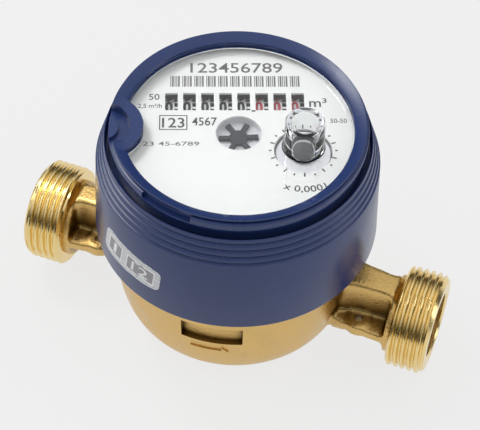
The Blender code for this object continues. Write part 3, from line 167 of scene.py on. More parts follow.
# Head: radii and heights
SKIRT_RIM = (0.0355, 0.0360)
SKIRT_TOP = (0.0346, 0.0590)
SHOULDER = (0.0324, 0.0658)
SHOULDER_STEPS = 4
STEP_LEDGE = 0.00055
STEP_LIP = 0.00020
STEP_LEVELS = (0.0001, 0.0004, 0.0006)
SHOULDER_EDGE = (0.0003, 0.0001)
WALL_BLEND = 0.0020
LIP_BLEND = 0.0006
RIM_BEVEL = 0.0004
CASING_WALL = 0.0021
LEDGE_HEIGHT = 0.0625
LEDGE_THICKNESS = 0.0022
CUP_RADIUS = 0.0293
RUN_GAP = 0.0004
GAP = 0.0003
RING_BAND_RADIUS = 0.0312
RING_EDGE_RADIUS = 0.0306
RING_GROOVE_RADIUS = 0.0300
RING_TOP = 0.0708
RING_DISH = 0.0013
RING_GROOVE_DROP = 0.0007
RING_DRAFT = 0.0001
BULGE_OVERLAP = 0.0012
DIAL_OPENING_RADIUS = 0.0277
BAND_TOP = 0.0696
BAND_BOTTOM = 0.0673
HINGE_X = -0.0327
BULGE_RADIUS = 0.0099
POCKET_RADIUS = 0.0069
POCKET_BOSS_RADIUS = 0.0039
POCKET_BOSS_RISE = 0.0010
POCKET_FLOOR = 0.0004
LID_SLOT_ANGLES = (math.radians(-137.0), math.radians(-112.0))
LID_SLOT_DEPTH = 0.0004
LID_SLOT_SILL = 0.0007
LID_SLOT_HEAD = 0.0003
LIP_SLOT_ANGLES = (math.radians(-137.0), math.radians(-118.0))
LENS_TOP = 0.0682
FLANGE_RADIUS = 0.0291
FLANGE_BOTTOM = 0.0659
FLANGE_TOP = 0.0670
TUBE_TOP = 0.0770
TUBE_RADIUS = 0.0049
TUBE_BORE_RADIUS = 0.0033
TUBE_FLOOR = 0.0008
TUBE_FOOT = 0.0005
TUBE_FLARE = 0.0004
TUBE_SINK = 0.0001
TUBE_DRAFT = 0.0002
TUBE_BEVEL = 0.0006
BORE_BEVEL = 0.0003
BORE_MOUTH = 0.0005
LENS_BEVEL = 0.0002
POINTER = (0.0153, -0.0056)

# Dial and counter
DIAL_TOP = 0.0656
DIAL_THICKNESS = 0.0006
DIAL_RADIUS = 0.0284
DRUM_COUNT = 8
DRUM_PITCH = 0.0044
DRUM_ROW = (-0.0008, 0.0106)
DRUM_RADIUS = 0.0070
DRUM_RIM_WIDTH = 0.0026
DRUM_TOOTH_WIDTH = 0.0012
DRUM_TEETH = 20
DRUM_TOOTH_TIP = 0.00677
DRUM_TOOTH_ROOT = 0.00554
DRUM_BORE = 0.0013
WINDOW = (0.0031, 0.0057)
WINDOW_SHIFT = -0.0003
STAR_WINDOW_RADIUS = 0.0055
POINTER_WINDOW_RADIUS = 0.0070
STAR_TURN = math.radians(3.0)
STAR_ARMS = 6
STAR_HUB = 0.00225
STAR_HALF_WIDTH = 0.0006
STAR_TIP = 0.0048
STAR_POINTS = 720
STAR_BEVEL = 0.0001
STAR_Z = (0.0634, 0.0642)
RECESS_FLOOR = (0.06314, 0.06328)
RECESS_HOLE = 0.0016
RECESS_WALL = 0.0002
RECESS_GAP = 0.00002
DRUM_DROP = 0.0017
DRUM_RIM_EDGE = 0.0007
RED_ROLLERS = 3
DIGIT_WIDTH = 0.0019
DIGIT_WEIGHT = 0.045
DIGIT_SLICES = 13
NARROW_ONE = 0.5
ROLLER_COLUMNS = 240
ROLLER_BEVEL = 0.0001
TOOTH_DRAFT = 0.00003
TOOTH_STEEPNESS = 2.2
TOOTH_SLACK = 0.00002
GAP_MARGIN = 0.0003
DIGITS = 10
POINTER_DISC_RADIUS = 0.0066
POINTER_DISC_Z = (0.0641, 0.0646)
POINTER_HUB_RADIUS = 0.0035
POINTER_HUB_Z = (0.0649, 0.0657)
POINTER_MARK_TURN = math.radians(35.0)
POINTER_MARK = ((0.0038, -0.0005), (0.0062, 0.0), (0.0038, 0.0005))
POINTER_MARK_RISE = 0.00005
POINTER_STUB = (0.0018, 0.0006)
POINTER_DISC_BEVEL = 0.0001
POINTER_HUB_BEVEL = 0.0002
POINTER_TEXT = ("multiplier", "x 0,0001", 0.0023, 0.0100, 0.0118)
TICK_COUNT = 20
TICK_RADIUS = 0.0082
TICK_LONG = 0.00110
TICK_SHORT = 0.00060
TICK_WIDTH = 0.00038
BAR_GROUPS = 11
BARS_A_GROUP = 5
BAR_X = (-0.0165, 0.0152)
BAR_Y = (0.0153, 0.0189)
NUMBER_BOX = (-0.0157, 0.0034, 0.0068, 0.0048, 0.00026)
TEXT_WEIGHT = 0.008
GREY_WORDS = (
    ("number_row", "123456789", 0.0034, 0.0228, -0.0002, 0.0218),
    ("thin_row", "123 45-6789", 0.0013, 0.0145, -0.0167, -0.0034),
)
BLACK_WORDS = (
    ("unit", "m³", 0.0029, 0.0043, 0.01945, 0.0100),
    ("size_line", "50", 0.0020, 0.0026, -0.0204, 0.0119),
    ("flow_line", "2,5 m³/h", 0.0016, 0.0058, -0.0214, 0.0090),
    ("boxed_number", "123", 0.0032, 0.0054, -0.0157, 0.0034),
    ("plain_number", "4567", 0.0027, 0.0060, -0.0082, 0.0038),
    ("class_line", "50-50", 0.0014, 0.0040, 0.0242, 0.0040),
)
DECIMAL_MARK = (0.0037, 0.0072, 0.0009, 0.0005)

# Seal label: its corners as angle in degrees and height, and its boxes as their digits, the digits' share
# of the box's width, and the box as parts of the label's width and height
LABEL_LOW = np.array(((-135.6, 0.0418), (-101.9, 0.0426)))
LABEL_HIGH = np.array(((-132.5, 0.0511), (-100.6, 0.0499)))
LABEL_LINE = (0.020, 0.055)
LABEL_RINGS = 15
LABEL_FOOT = 0.00001
BOX_CORNER = 30.0
LINE_CORNER = 60.0
LABEL_DIGITS_HIGH = 0.62
LABEL_CUT_REACH = 0.4
LABEL_CUTS = 5
LABEL_CORNER = 7.0
LABEL_BOXES = (("1", 0.20, ((0.09, 0.38), (0.17, 0.83))), ("12", 0.58, ((0.46, 0.92), (0.17, 0.83))))

# Studio
CAMERA_PLACE = (0.09236, -0.26831, 0.3790)
CAMERA_TARGET = (0.00087, 0.00030, 0.0358)
CAMERA_LENS = 131.91
CAMERA_SENSOR = 36.0
CAMERA_CLIP = (0.01, 10.0)
CAMERA_ROLL = math.radians(1.79)
SKY_LOW = 0.05
SKY_HIGH = 0.90
SKY_SEEN = 0.88
SKY_RISE = (0.25, 0.85)
FLOOR_GLOW = 0.88
FLOOR_HALF_WIDTH = 2.5
FLOOR_ROUGHNESS = 0.9
LAMPS = (
    ("key_lamp", (-0.50, 0.20, 0.78), (0.0, 0.0, 0.03), (0.26, 0.26), 2.4),
    ("left_box", (-0.58, -0.14, 0.34), (0.0, 0.0, 0.05), (0.20, 0.50), 0.7),
    ("right_box", (0.60, 0.10, 0.30), (0.0, 0.0, 0.05), (0.20, 0.50), 0.7),
)


def linear(red, green, blue):
    """A colour given as it looks on screen, as linear light: the standard screen curve, which is straight
    near black and a power of 2.4 above that."""
    parts = np.array((red, green, blue)) / 255.0
    return tuple(np.where(parts <= 0.04045, parts / 12.92, ((parts + 0.055) / 1.055) ** 2.4))


def length(name, default, description):
    """A size in metres for the sidebar."""
    return bpy.props.FloatProperty(
        name=name, default=default, description=description, unit="LENGTH", precision=5)


def colour(name, default, description):
    """A colour in linear light for the sidebar."""
    return bpy.props.FloatVectorProperty(
        name=name, default=default, description=description, subtype="COLOR", size=3, min=0.0, max=1.0)


def share(name, default, description):
    """A share from 0 to 1 for the sidebar."""
    return bpy.props.FloatProperty(
        name=name, default=default, description=description, subtype="FACTOR", min=0.0, max=1.0)


class MeterSizes(bpy.types.PropertyGroup):
    """Sizes of the dressed pieces that a user may change."""
    thread_radius: length("Thread radius", 0.01322, "Outside radius of the threaded ends")
    thread_pitch: length("Thread pitch", 0.001814, "Distance between two turns of the thread")
    thread_depth: length("Thread depth", 0.00085, "Height of the thread's ridges")
    voxel: length("Casting voxel", 0.00055, "Grid size that blends the walls of the casting")
    plastic_edge: length("Moulded edge", 0.00030, "Rounding of the blue plastic's edges")
    print_height: length("Print height", 0.00002, "Thickness of the ink on the dial and rollers")
    digit_height: length("Roller digit", 0.0043, "Height of a digit on a roller")
    label_rise: length("Label thickness", 0.00010, "Thickness of the seal label")
    roller_angle: bpy.props.FloatProperty(
        name="Roller angle", default=math.radians(2.5), subtype="ANGLE",
        description="Turn of the digits on the rollers away from the middle of the windows")


class MeterColours(bpy.types.PropertyGroup):
    """Colours and finishes of the materials."""
    cast_brass: colour("Cast brass", linear(218, 182, 114), "Rough skin of the casting")
    cut_brass: colour("Cut brass", linear(240, 214, 150), "Machined brass of the threads")
    blue: colour("Head plastic", linear(36, 56, 108), "Dark blue plastic of the head")
    dial: colour("Dial", linear(238, 238, 236), "White of the dial plate and rollers")
    ink: colour("Ink", linear(34, 34, 38), "Black print")
    grey_ink: colour("Grey ink", linear(95, 92, 92), "Grey print of the bar pattern and small text")
    red_ink: colour("Red ink", linear(196, 66, 84), "Red print of the decimal rollers")
    # Painted shade between the rollers' teeth, as a dark colour
    gap: colour("Roller gaps", linear(30, 30, 34), "Dark between the teeth of the rollers")
    star: colour("Star", linear(40, 40, 50), "Dark plastic of the leak star")
    recess: colour("Recess", linear(224, 224, 228), "Grey of the plates under the dial")
    label_box: colour("Label box", linear(150, 150, 156), "Grey boxes on the seal label")
    label: colour("Label", linear(222, 226, 230), "Silver film of the seal label")
    natural: colour("Natural plastic", linear(205, 200, 186), "Unpainted moulded plastic")
    steel: colour("Steel", linear(190, 190, 192), "Turned steel")
    ferrite: colour("Ferrite", linear(44, 44, 48), "Moulded magnet")
    rubber: colour("Rubber", linear(26, 26, 28), "Seals")
    floor: colour("Floor", linear(240, 240, 240), "Studio floor")
    # Lightens proud brass edges: rubbed wear and a painted highlight where edges catch light
    wear: share("Wear", 0.5, "How much the brass is marked by handling")


def sizes():
    """The sizes as the user has set them."""
    return bpy.context.scene.meter_sizes


def colours():
    """The colours as the user has set them."""
    return bpy.context.scene.meter_colours


def new_group(name, inputs, outputs):
    """An empty shader node group with named sockets, and its input and output nodes."""
    tree = bpy.data.node_groups.new(name, "ShaderNodeTree")
    for label, kind, default in inputs:
        socket = tree.interface.new_socket(name=label, in_out="INPUT", socket_type=kind)
        if default is not None:
            socket.default_value = default
    for label, kind in outputs:
        tree.interface.new_socket(name=label, in_out="OUTPUT", socket_type=kind)
    return tree, tree.nodes.new("NodeGroupInput"), tree.nodes.new("NodeGroupOutput")


def node(tree, kind, values=(), **settings):
    """A node with its settings and the plain values of its sockets."""
    made = tree.nodes.new(kind)
    for key, value in settings.items():
        setattr(made, key, value)
    for key, value in dict(values).items():
        made.inputs[key].default_value = value
    return made


def maths(tree, operation, first, second, clamp=False):
    """A Math node whose two inputs are numbers or sockets."""
    made = node(tree, "ShaderNodeMath", operation=operation, use_clamp=clamp)
    for place, value in enumerate((first, second)):
        if isinstance(value, (int, float)):
            made.inputs[place].default_value = value
        else:
            tree.links.new(value, made.inputs[place])
    return made.outputs[0]


def grain_group():
    """Grain: fine noise with a coarser one laid over it, as a height for a bump."""
    found = bpy.data.node_groups.get("grain")
    if found:
        return found
    tree, source, out = new_group(
        "grain",
        (("Vector", "NodeSocketVector", None), ("Scale", "NodeSocketFloat", 4000.0),
         ("Coarse", "NodeSocketFloat", 0.35)),
        (("Height", "NodeSocketFloat"),))
    fine = node(tree, "ShaderNodeTexNoise", {"Detail": 4.0, "Roughness": 0.6})
    coarse = node(tree, "ShaderNodeTexNoise", {"Detail": 2.0})
    links = tree.links
    links.new(source.outputs["Vector"], fine.inputs["Vector"])
    links.new(source.outputs["Vector"], coarse.inputs["Vector"])
    links.new(source.outputs["Scale"], fine.inputs["Scale"])
    links.new(maths(tree, "MULTIPLY", source.outputs["Scale"], 0.22), coarse.inputs["Scale"])
    coarse_share = maths(tree, "MULTIPLY", coarse.outputs["Fac"], source.outputs["Coarse"])
    links.new(maths(tree, "ADD", fine.outputs["Fac"], coarse_share), out.inputs["Height"])
    return tree


def tone_group():
    """Tone: a colour that drifts lighter and darker in soft patches, with the patches as a mask."""
    found = bpy.data.node_groups.get("tone")
    if found:
        return found
    tree, source, out = new_group(
        "tone",
        (("Vector", "NodeSocketVector", None), ("Colour", "NodeSocketColor", (0.5, 0.5, 0.5, 1.0)),
         ("Scale", "NodeSocketFloat", 120.0), ("Amount", "NodeSocketFloat", 0.1)),
        (("Colour", "NodeSocketColor"), ("Patches", "NodeSocketFloat")))
    patches = node(tree, "ShaderNodeTexNoise", {"Detail": 3.0, "Roughness": 0.55})
    tree.links.new(source.outputs["Vector"], patches.inputs["Vector"])
    tree.links.new(source.outputs["Scale"], patches.inputs["Scale"])
    lift = maths(tree, "SUBTRACT", patches.outputs["Fac"], 0.5)
    gain = maths(tree, "ADD", maths(tree, "MULTIPLY", lift, source.outputs["Amount"]), 1.0)
    change = node(tree, "ShaderNodeHueSaturation")
    tree.links.new(source.outputs["Colour"], change.inputs["Color"])
    tree.links.new(gain, change.inputs["Value"])
    tree.links.new(change.outputs["Color"], out.inputs["Colour"])
    tree.links.new(patches.outputs["Fac"], out.inputs["Patches"])
    return tree


def wear_group():
    """Wear and painted highlight: proud edges, broken up by noise, as a mask for lighter places, which
    stand for rubbed brass and for light caught on the edges.
    """
    found = bpy.data.node_groups.get("wear")
    if found:
        return found
    tree, source, out = new_group(
        "wear",
        (("Vector", "NodeSocketVector", None), ("Scale", "NodeSocketFloat", 900.0),
         ("Amount", "NodeSocketFloat", 0.5)),
        (("Mask", "NodeSocketFloat"),))
    shape = node(tree, "ShaderNodeNewGeometry")
    edges = node(tree, "ShaderNodeMapRange",
                 {"From Min": 0.56, "From Max": 0.72, "To Min": 0.0, "To Max": 1.0})
    chips = node(tree, "ShaderNodeTexNoise", {"Detail": 3.0})
    tree.links.new(shape.outputs["Pointiness"], edges.inputs["Value"])
    tree.links.new(source.outputs["Vector"], chips.inputs["Vector"])
    tree.links.new(source.outputs["Scale"], chips.inputs["Scale"])
    chance = maths(tree, "ADD", chips.outputs["Fac"], 0.3)
    broken = maths(tree, "MULTIPLY", edges.outputs["Result"], chance)
    mask = maths(tree, "MULTIPLY", broken, source.outputs["Amount"], clamp=True)
    tree.links.new(mask, out.inputs["Mask"])
    return tree


def start_material(name):
    """A new material with its Principled shader and the object's own coordinates."""
    made = bpy.data.materials.new(name)
    made.use_nodes = True
    tree = made.node_tree
    shader = tree.nodes["Principled BSDF"]
    place = node(tree, "ShaderNodeTexCoord").outputs["Object"]
    return made, tree, shader, place


def use_group(tree, group, place, values):
    """Place a shared effect in a material, with its own values."""
    made = node(tree, "ShaderNodeGroup", node_tree=group)
    for key, value in values.items():
        made.inputs[key].default_value = value
    tree.links.new(place, made.inputs["Vector"])
    return made


def darker_hollows(tree, skin, amount):
    """Painted shade: colour that falls off in the corners of a piece, for the shade that falls there and
    for the duller cast skin that tumbling does not reach.
    """
    reach = node(tree, "ShaderNodeAmbientOcclusion", {"Distance": HOLLOW_SHADE_REACH}, only_local=True,
                 samples=HOLLOW_SHADE_SAMPLES)
    gain = node(tree, "ShaderNodeMapRange",
                {"From Min": 0.45, "From Max": 0.92, "To Min": 1.0 - amount, "To Max": 1.0})
    tree.links.new(reach.outputs["AO"], gain.inputs["Value"])
    change = node(tree, "ShaderNodeHueSaturation")
    tree.links.new(skin, change.inputs["Color"])
    tree.links.new(gain.outputs["Result"], change.inputs["Value"])
    return change.outputs["Color"]


def finish_material(name, base, roughness, metallic=0.0, *, grain, tone, spread=0.08, wear=0.0, worn_and_lit_colour=None,
                    hollow_shade=0.0):
    """A finish of one colour: patches of tone, roughness that follows them, grain, worn edges with a
    painted highlight and painted shade in the hollows. Grain is a scale and a depth, tone a scale and an
    amount."""
    found = bpy.data.materials.get(name)
    if found:
        return found
    made, tree, shader, place = start_material(name)
    links = tree.links
    shader.inputs["Metallic"].default_value = metallic
    patches = use_group(tree, tone_group(), place,
                        {"Colour": (*base, 1.0), "Scale": tone[0], "Amount": tone[1]})
    skin = patches.outputs["Colour"]
    limits = {"To Min": roughness - spread, "To Max": roughness + spread}
    rough = node(tree, "ShaderNodeMapRange", {"From Min": 0.3, "From Max": 0.7, **limits})
    links.new(patches.outputs["Patches"], rough.inputs["Value"])
    # Proud edges turn lighter: rubbed wear and a painted highlight
    if wear > 0.0:
        edges = use_group(tree, wear_group(), place, {"Amount": wear})
        blend = node(tree, "ShaderNodeMix", data_type="RGBA")
        links.new(edges.outputs["Mask"], blend.inputs["Factor"])
        links.new(skin, blend.inputs["A"])
        blend.inputs["B"].default_value = (*worn_and_lit_colour, 1.0)
        skin = blend.outputs["Result"]
    # Painted shade in the hollows, which also stands for the duller cast skin there
    if hollow_shade > 0.0:
        skin = darker_hollows(tree, skin, hollow_shade)
    links.new(skin, shader.inputs["Base Color"])
    links.new(rough.outputs["Result"], shader.inputs["Roughness"])
    height = use_group(tree, grain_group(), place, {"Scale": grain[0]})
    bump = node(tree, "ShaderNodeBump", {"Strength": 1.0, "Distance": grain[1]})
    links.new(height.outputs["Height"], bump.inputs["Height"])
    links.new(bump.outputs["Normal"], shader.inputs["Normal"])
    return made


def cast_brass():
    """Sand-cast brass: pebbled, matte, with rubbed edges that also carry a painted highlight, and painted
    shade in its hollows.
    """
    c = colours()
    return finish_material("sand_cast_brass", c.cast_brass, roughness=0.32, metallic=1.0,
                           grain=(1300.0, 0.00014), tone=(160.0, 0.40), spread=0.10, wear=c.wear,
                           worn_and_lit_colour=c.cut_brass, hollow_shade=HOLLOW_SHADE_DARK)


def cut_brass():
    """Machined brass of the threads: bright, with faint tool marks."""
    c = colours()
    return finish_material("turned_brass", c.cut_brass, roughness=0.22, metallic=1.0,
                           grain=(5200.0, 0.000003), tone=(300.0, 0.18), spread=0.06)


def blue_plastic():
    """Dark blue moulded plastic with a soft gloss."""
    return finish_material("moulded_blue", colours().blue, roughness=0.25, grain=(5200.0, 0.000003),
                           tone=(90.0, 0.10), spread=0.04)


def dial_white():
    """Matt white paint of the dial plate."""
    return finish_material("dial_paint", colours().dial, roughness=0.55, grain=(6000.0, 0.000002),
                           tone=(60.0, 0.03))


def roller_white():
    """White moulded plastic of the rollers and fine gears."""
    return finish_material("roller_white", colours().dial, roughness=0.45, grain=(5000.0, 0.000004),
                           tone=(200.0, 0.05))


def ink(name, base):
    """Printed ink, a little uneven in tone."""
    return finish_material(name, base, roughness=0.50, grain=(6000.0, 0.000002), tone=(700.0, 0.20))


def plain_plastic(name, base):
    """Plain moulded plastic with a fine mould grain."""
    return finish_material(name, base, roughness=0.48, grain=(4200.0, 0.000008), tone=(150.0, 0.10))


def turned_steel():
    """Bright turned steel of the axles."""
    return finish_material("turned_steel", colours().steel, roughness=0.28, metallic=1.0,
                           grain=(6000.0, 0.000005), tone=(500.0, 0.15))


def ferrite():
    """Moulded magnet: nearly black and dull."""
    return finish_material("ferrite_black", colours().ferrite, roughness=0.60, grain=(5200.0, 0.00002),
                           tone=(400.0, 0.20))


def seal_rubber():
    """Black seal rubber."""
    return finish_material("seal_rubber", colours().rubber, roughness=0.75, grain=(3500.0, 0.00002),
                           tone=(300.0, 0.20))


def clear_plastic():
    """Clear lens plastic. Its shadow rays pass, so that lamps reach the dial, and scuffs vary its gloss."""
    found = bpy.data.materials.get("clear_lens")
    if found:
        return found
    made, tree, shader, place = start_material("clear_lens")
    shader.inputs["Base Color"].default_value = (0.95, 0.965, 0.97, 1.0)
    shader.inputs["Transmission Weight"].default_value = 1.0
    shader.inputs["IOR"].default_value = 1.49
    scuffs = use_group(tree, tone_group(), place, {"Scale": 220.0, "Amount": 0.0})
    rough = node(tree, "ShaderNodeMapRange",
                 {"From Min": 0.35, "From Max": 0.75, "To Min": 0.0, "To Max": 0.04})
    tree.links.new(scuffs.outputs["Patches"], rough.inputs["Value"])
    tree.links.new(rough.outputs["Result"], shader.inputs["Roughness"])
    rays = node(tree, "ShaderNodeLightPath")
    stops = maths(tree, "SUBTRACT", 1.0, maths(tree, "MULTIPLY", rays.outputs["Is Shadow Ray"], 0.92))
    tree.links.new(stops, shader.inputs["Alpha"])
    return made


def label_film():
    """Silver film with a fine wavy security pattern in two greys."""
    found = bpy.data.materials.get("label_film")
    if found:
        return found
    made, tree, shader, place = start_material("label_film")
    shader.inputs["Metallic"].default_value = 0.35
    shape = {"Scale": 420.0, "Distortion": 9.0, "Detail": 2.0, "Detail Scale": 1.5}
    waves = node(tree, "ShaderNodeTexWave", shape, bands_direction="Z")
    tree.links.new(place, waves.inputs["Vector"])
    ramp = node(tree, "ShaderNodeMapRange", {"From Min": 0.35, "From Max": 0.65})
    tree.links.new(waves.outputs["Fac"], ramp.inputs["Value"])
    blend = node(tree, "ShaderNodeMix", data_type="RGBA")
    blend.inputs["A"].default_value = (*(0.62 * np.array(colours().label)), 1.0)
    blend.inputs["B"].default_value = (*colours().label, 1.0)
    tree.links.new(ramp.outputs["Result"], blend.inputs["Factor"])
    tree.links.new(blend.outputs["Result"], shader.inputs["Base Color"])
    shine = node(tree, "ShaderNodeMapRange", {"To Min": 0.28, "To Max": 0.42})
    tree.links.new(waves.outputs["Fac"], shine.inputs["Value"])
    tree.links.new(shine.outputs["Result"], shader.inputs["Roughness"])
    return made


def grid_faces(rows, columns, wrap_rows, wrap_columns):
    """Quads between neighbouring points of a grid, wrapped round where it closes on itself."""
    row = np.arange(rows if wrap_rows else rows - 1)
    column = np.arange(columns if wrap_columns else columns - 1)
    low, left = np.meshgrid(row, column, indexing="ij")
    high, right = (low + 1) % rows, (left + 1) % columns
    corners = (low * columns + left, low * columns + right, high * columns + right, high * columns + left)
    return np.stack(corners, axis=-1).reshape(-1, 4)


def new_object(name, points, faces, look=None):
    """An object at the origin from points and faces, with its normals outwards and its doubles merged."""
    mesh = bpy.data.meshes.new(name)
    mesh.from_pydata(np.asarray(points).reshape(-1, 3).tolist(), [], np.asarray(faces).tolist())
    mend(mesh)
    made = bpy.data.objects.new(name, mesh)
    bpy.context.scene.collection.objects.link(made)
    if look is not None:
        mesh.materials.append(look)
    return made


def mend(mesh):
    """Merge doubled points, as at a pole, drop faces without area and turn the rest outwards."""
    work = bmesh.new()
    work.from_mesh(mesh)
    bmesh.ops.remove_doubles(work, verts=work.verts, dist=MERGE_DISTANCE)
    bmesh.ops.dissolve_degenerate(work, edges=work.edges, dist=SLIVER)
    bmesh.ops.recalc_face_normals(work, faces=work.faces)
    work.to_mesh(mesh)
    work.free()


def smooth(made, angle):
    """Shade smoothly, but keep edges sharper than the angle in degrees."""
    made.data.shade_smooth()
    made.data.set_sharp_from_angle(angle=math.radians(angle))
    return made


def rounded(outline, reach):
    """A closed outline with round corners: each corner becomes a parabola that starts and ends
    reach away from it along its two sides, or at a set share of a side where that is shorter."""
    points = np.asarray(outline, float)
    before, after = np.roll(points, 1, axis=0) - points, np.roll(points, -1, axis=0) - points
    before_length = np.linalg.norm(before, axis=1)
    after_length = np.linalg.norm(after, axis=1)
    cut_back = np.minimum(np.minimum(np.broadcast_to(reach, len(points)), CORNER_SHARE * before_length),
                          CORNER_SHARE * after_length)
    start = points + before * (cut_back / before_length)[:, None]
    end = points + after * (cut_back / after_length)[:, None]
    t = np.linspace(0.0, 1.0, CORNER_STEPS + 1)[None, :, None]
    curve = (1 - t) ** 2 * start[:, None] + 2 * t * (1 - t) * points[:, None] + t ** 2 * end[:, None]
    return curve.reshape(-1, 2)


def turned(name, outline, look, columns, closed=True, rise=None):
    """A turned piece: point (radius, height) of the outline at angle a lies at
    (radius cos a, radius sin a, height). An open outline starts and ends on the axis."""
    outline = np.asarray(outline, float)
    angles = 2.0 * np.pi * np.arange(columns) / columns
    radius = outline[:, :1] + np.zeros(columns)
    if rise is not None:
        radius = rise(outline[:, 1:] + np.zeros(columns), radius, angles[None, :])
    height = outline[:, 1:] + np.zeros(columns)
    points = np.stack((radius * np.cos(angles), radius * np.sin(angles), height), axis=-1)
    return new_object(name, points, grid_faces(len(outline), columns, closed, True), look)


def prism(name, outline, low, high, look, bevel):
    """An upright prism over an outline that its centre sees whole: rings of the outline at each
    height, drawn in by the bevel at both ends and closed on the centre."""
    outline = np.asarray(outline, float)
    centre = outline.mean(axis=0)
    reach = np.linalg.norm(outline - centre, axis=1, keepdims=True)
    inset = centre + (outline - centre) * (1.0 - bevel / reach)
    rings = [(centre + 0.0 * outline, low), (inset, low), (outline, low + bevel),
             (outline, high - bevel), (inset, high), (centre + 0.0 * outline, high)]
    points = np.stack([np.column_stack((ring, np.full(len(outline), level))) for ring, level in rings])
    return new_object(name, points, grid_faces(len(rings), len(outline), False, True), look)


def box(name, low, high, look):
    """A plain block between two corners, for cutters and frames."""
    corners = np.array([[x, y, z] for z in (low[2], high[2]) for y in (low[1], high[1])
                        for x in (low[0], high[0])])
    faces = [(0, 2, 3, 1), (4, 5, 7, 6), (0, 1, 5, 4), (2, 6, 7, 3), (0, 4, 6, 2), (1, 3, 7, 5)]
    return new_object(name, corners, faces, look)


def moved(made, matrix):
    """Bake a placement into the mesh, so that the object stays at the origin."""
    made.data.transform(matrix)
    if matrix.determinant() < 0.0:
        made.data.flip_normals()
    made.data.update()
    return made


def at_pointer(made):
    """Move a piece made on the axis to the pointer."""
    return moved(made, Matrix.Translation((*POINTER, 0.0)))


def head_turned(made):
    """Turn a piece from the upright dial to the head's place at rest."""
    return moved(made, Matrix.Rotation(HEAD_TURN, 4, "Z"))


def applied(made, kind, **settings):
    """Add one modifier, take its result as the mesh and remove it."""
    change = made.modifiers.new(kind.lower(), kind)
    for key, value in settings.items():
        setattr(change, key, value)
    bpy.context.view_layer.update()
    graph = bpy.context.evaluated_depsgraph_get()
    result = bpy.data.meshes.new_from_object(made.evaluated_get(graph))
    made.modifiers.clear()
    made.data = result
    return made


def combined(made, others, operation):
    """Join, cut or keep the overlap with other solids, one after the other, and drop them."""
    for other in others:
        applied(made, "BOOLEAN", operation=operation, solver="EXACT", object=other)
        bpy.data.objects.remove(other, do_unlink=True)
        mend(made.data)
    return made


def joined(made, others):
    """One object that holds the meshes of several, with their materials kept."""
    work = bmesh.new()
    for item in [made] + list(others):
        slots = []
        for look in item.data.materials:
            if look.name not in made.data.materials:
                made.data.materials.append(look)
            slots.append(made.data.materials.find(look.name))
        first = len(work.faces)
        work.from_mesh(item.data)
        work.faces.ensure_lookup_table()
        for face in work.faces[first:]:
            face.material_index = slots[face.material_index] if slots else 0
    work.to_mesh(made.data)
    work.free()
    for item in others:
        bpy.data.objects.remove(item, do_unlink=True)
    return made


def flat_text(name, words, height, look, width, thickness=None, weight=TEXT_WEIGHT):
    """Letters as a thin closed solid on the plane z = 0, scaled to a height and a width and centred on
    both. The weight thickens their strokes."""
    curve = bpy.data.curves.new(name, "FONT")
    curve.body = words
    curve.size = 1.0
    curve.extrude = 0.5
    curve.align_x = "CENTER"
    curve.resolution_u = 3
    curve.offset = weight
    holder = bpy.data.objects.new(name, curve)
    bpy.context.scene.collection.objects.link(holder)
    bpy.context.view_layer.update()
    mesh = bpy.data.meshes.new_from_object(holder.evaluated_get(bpy.context.evaluated_depsgraph_get()))
    bpy.data.objects.remove(holder, do_unlink=True)
    points = vertex_array(mesh)
    scale_x, scale_y = width / np.ptp(points[:, 0]), height / np.ptp(points[:, 1])
    points[:, 0] -= (points[:, 0].max() + points[:, 0].min()) / 2.0
    points[:, 0] *= scale_x
    points[:, 1] = points[:, 1] * scale_y - height / 2.0
    points[:, 2] = (points[:, 2] + 0.5) * (thickness or sizes().print_height)
    set_vertices(mesh, points)
    mend(mesh)
    made = bpy.data.objects.new(name, mesh)
    bpy.context.scene.collection.objects.link(made)
    paint(mesh, look)
    return made


def vertex_array(mesh):
    """The mesh's points as rows of x, y and z."""
    points = np.empty(len(mesh.vertices) * 3)
    mesh.vertices.foreach_get("co", points)
    return points.reshape(-1, 3)


def set_vertices(mesh, points):
    """Put moved points back into the mesh."""
    mesh.vertices.foreach_set("co", np.asarray(points, np.float32).ravel())
    mesh.update()


def paint(mesh, look):
    """Leave a mesh with one material."""
    mesh.materials.clear()
    mesh.materials.append(look)


def seat(made, body, slot, *nodes):
    """Let a finished piece ride on its body and stand for the nodes it replaces. The slot is not used."""
    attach(made, body)
    if nodes:
        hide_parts(*nodes)
    return made


def sliced(made, levels, axis=1):
    """Cut a flat piece across x (0) or y (1) at even steps, so that it can follow a round face."""
    normal = np.eye(3)[axis]
    work = bmesh.new()
    work.from_mesh(made.data)
    for level in levels:
        geometry = work.verts[:] + work.edges[:] + work.faces[:]
        bmesh.ops.bisect_plane(work, geom=geometry, dist=SLIVER, plane_co=level * normal,
                               plane_no=normal)
    work.to_mesh(made.data)
    work.free()
    return made


def bowl_outline():
    """Half section of the bowl: foot, cone, a flank that swells to its full radius along a quarter of an
    ellipse, whose sine is raised to the swell, then clamp groove, seat and measuring chamber."""
    turn = np.linspace(0.0, np.pi / 2.0, FLANK_ROWS)
    edge = np.column_stack((
        CONE_END[0] + (CHAMBER_RADIUS - CONE_END[0]) * np.sin(turn) ** FLANK_SWELL,
        CONE_END[1] + (FLANK_TOP - CONE_END[1]) * (1.0 - np.cos(turn))))
    groove = CHAMBER_RADIUS - GROOVE_DEPTH
    foot = [(0.0, 0.0), (FOOT_RADIUS, 0.0), (FOOT_RADIUS + FOOT_BEVEL[0], FOOT_BEVEL[1])]
    rest = [(CHAMBER_RADIUS, GROOVE_BOTTOM), (groove, GROOVE_BOTTOM), (groove, GROOVE_TOP),
            (CHAMBER_RADIUS, GROOVE_TOP), (CHAMBER_RADIUS, BODY_TOP), (SEAT_RADIUS, BODY_TOP),
            (SEAT_RADIUS, SEAT_HEIGHT), (CAVITY_RADIUS, SEAT_HEIGHT),
            (CAVITY_RADIUS, CAVITY_FLOOR + CAVITY_BEVEL), (CAVITY_RADIUS - CAVITY_BEVEL, CAVITY_FLOOR),
            (0.0, CAVITY_FLOOR)]
    return np.concatenate((foot, edge, rest))


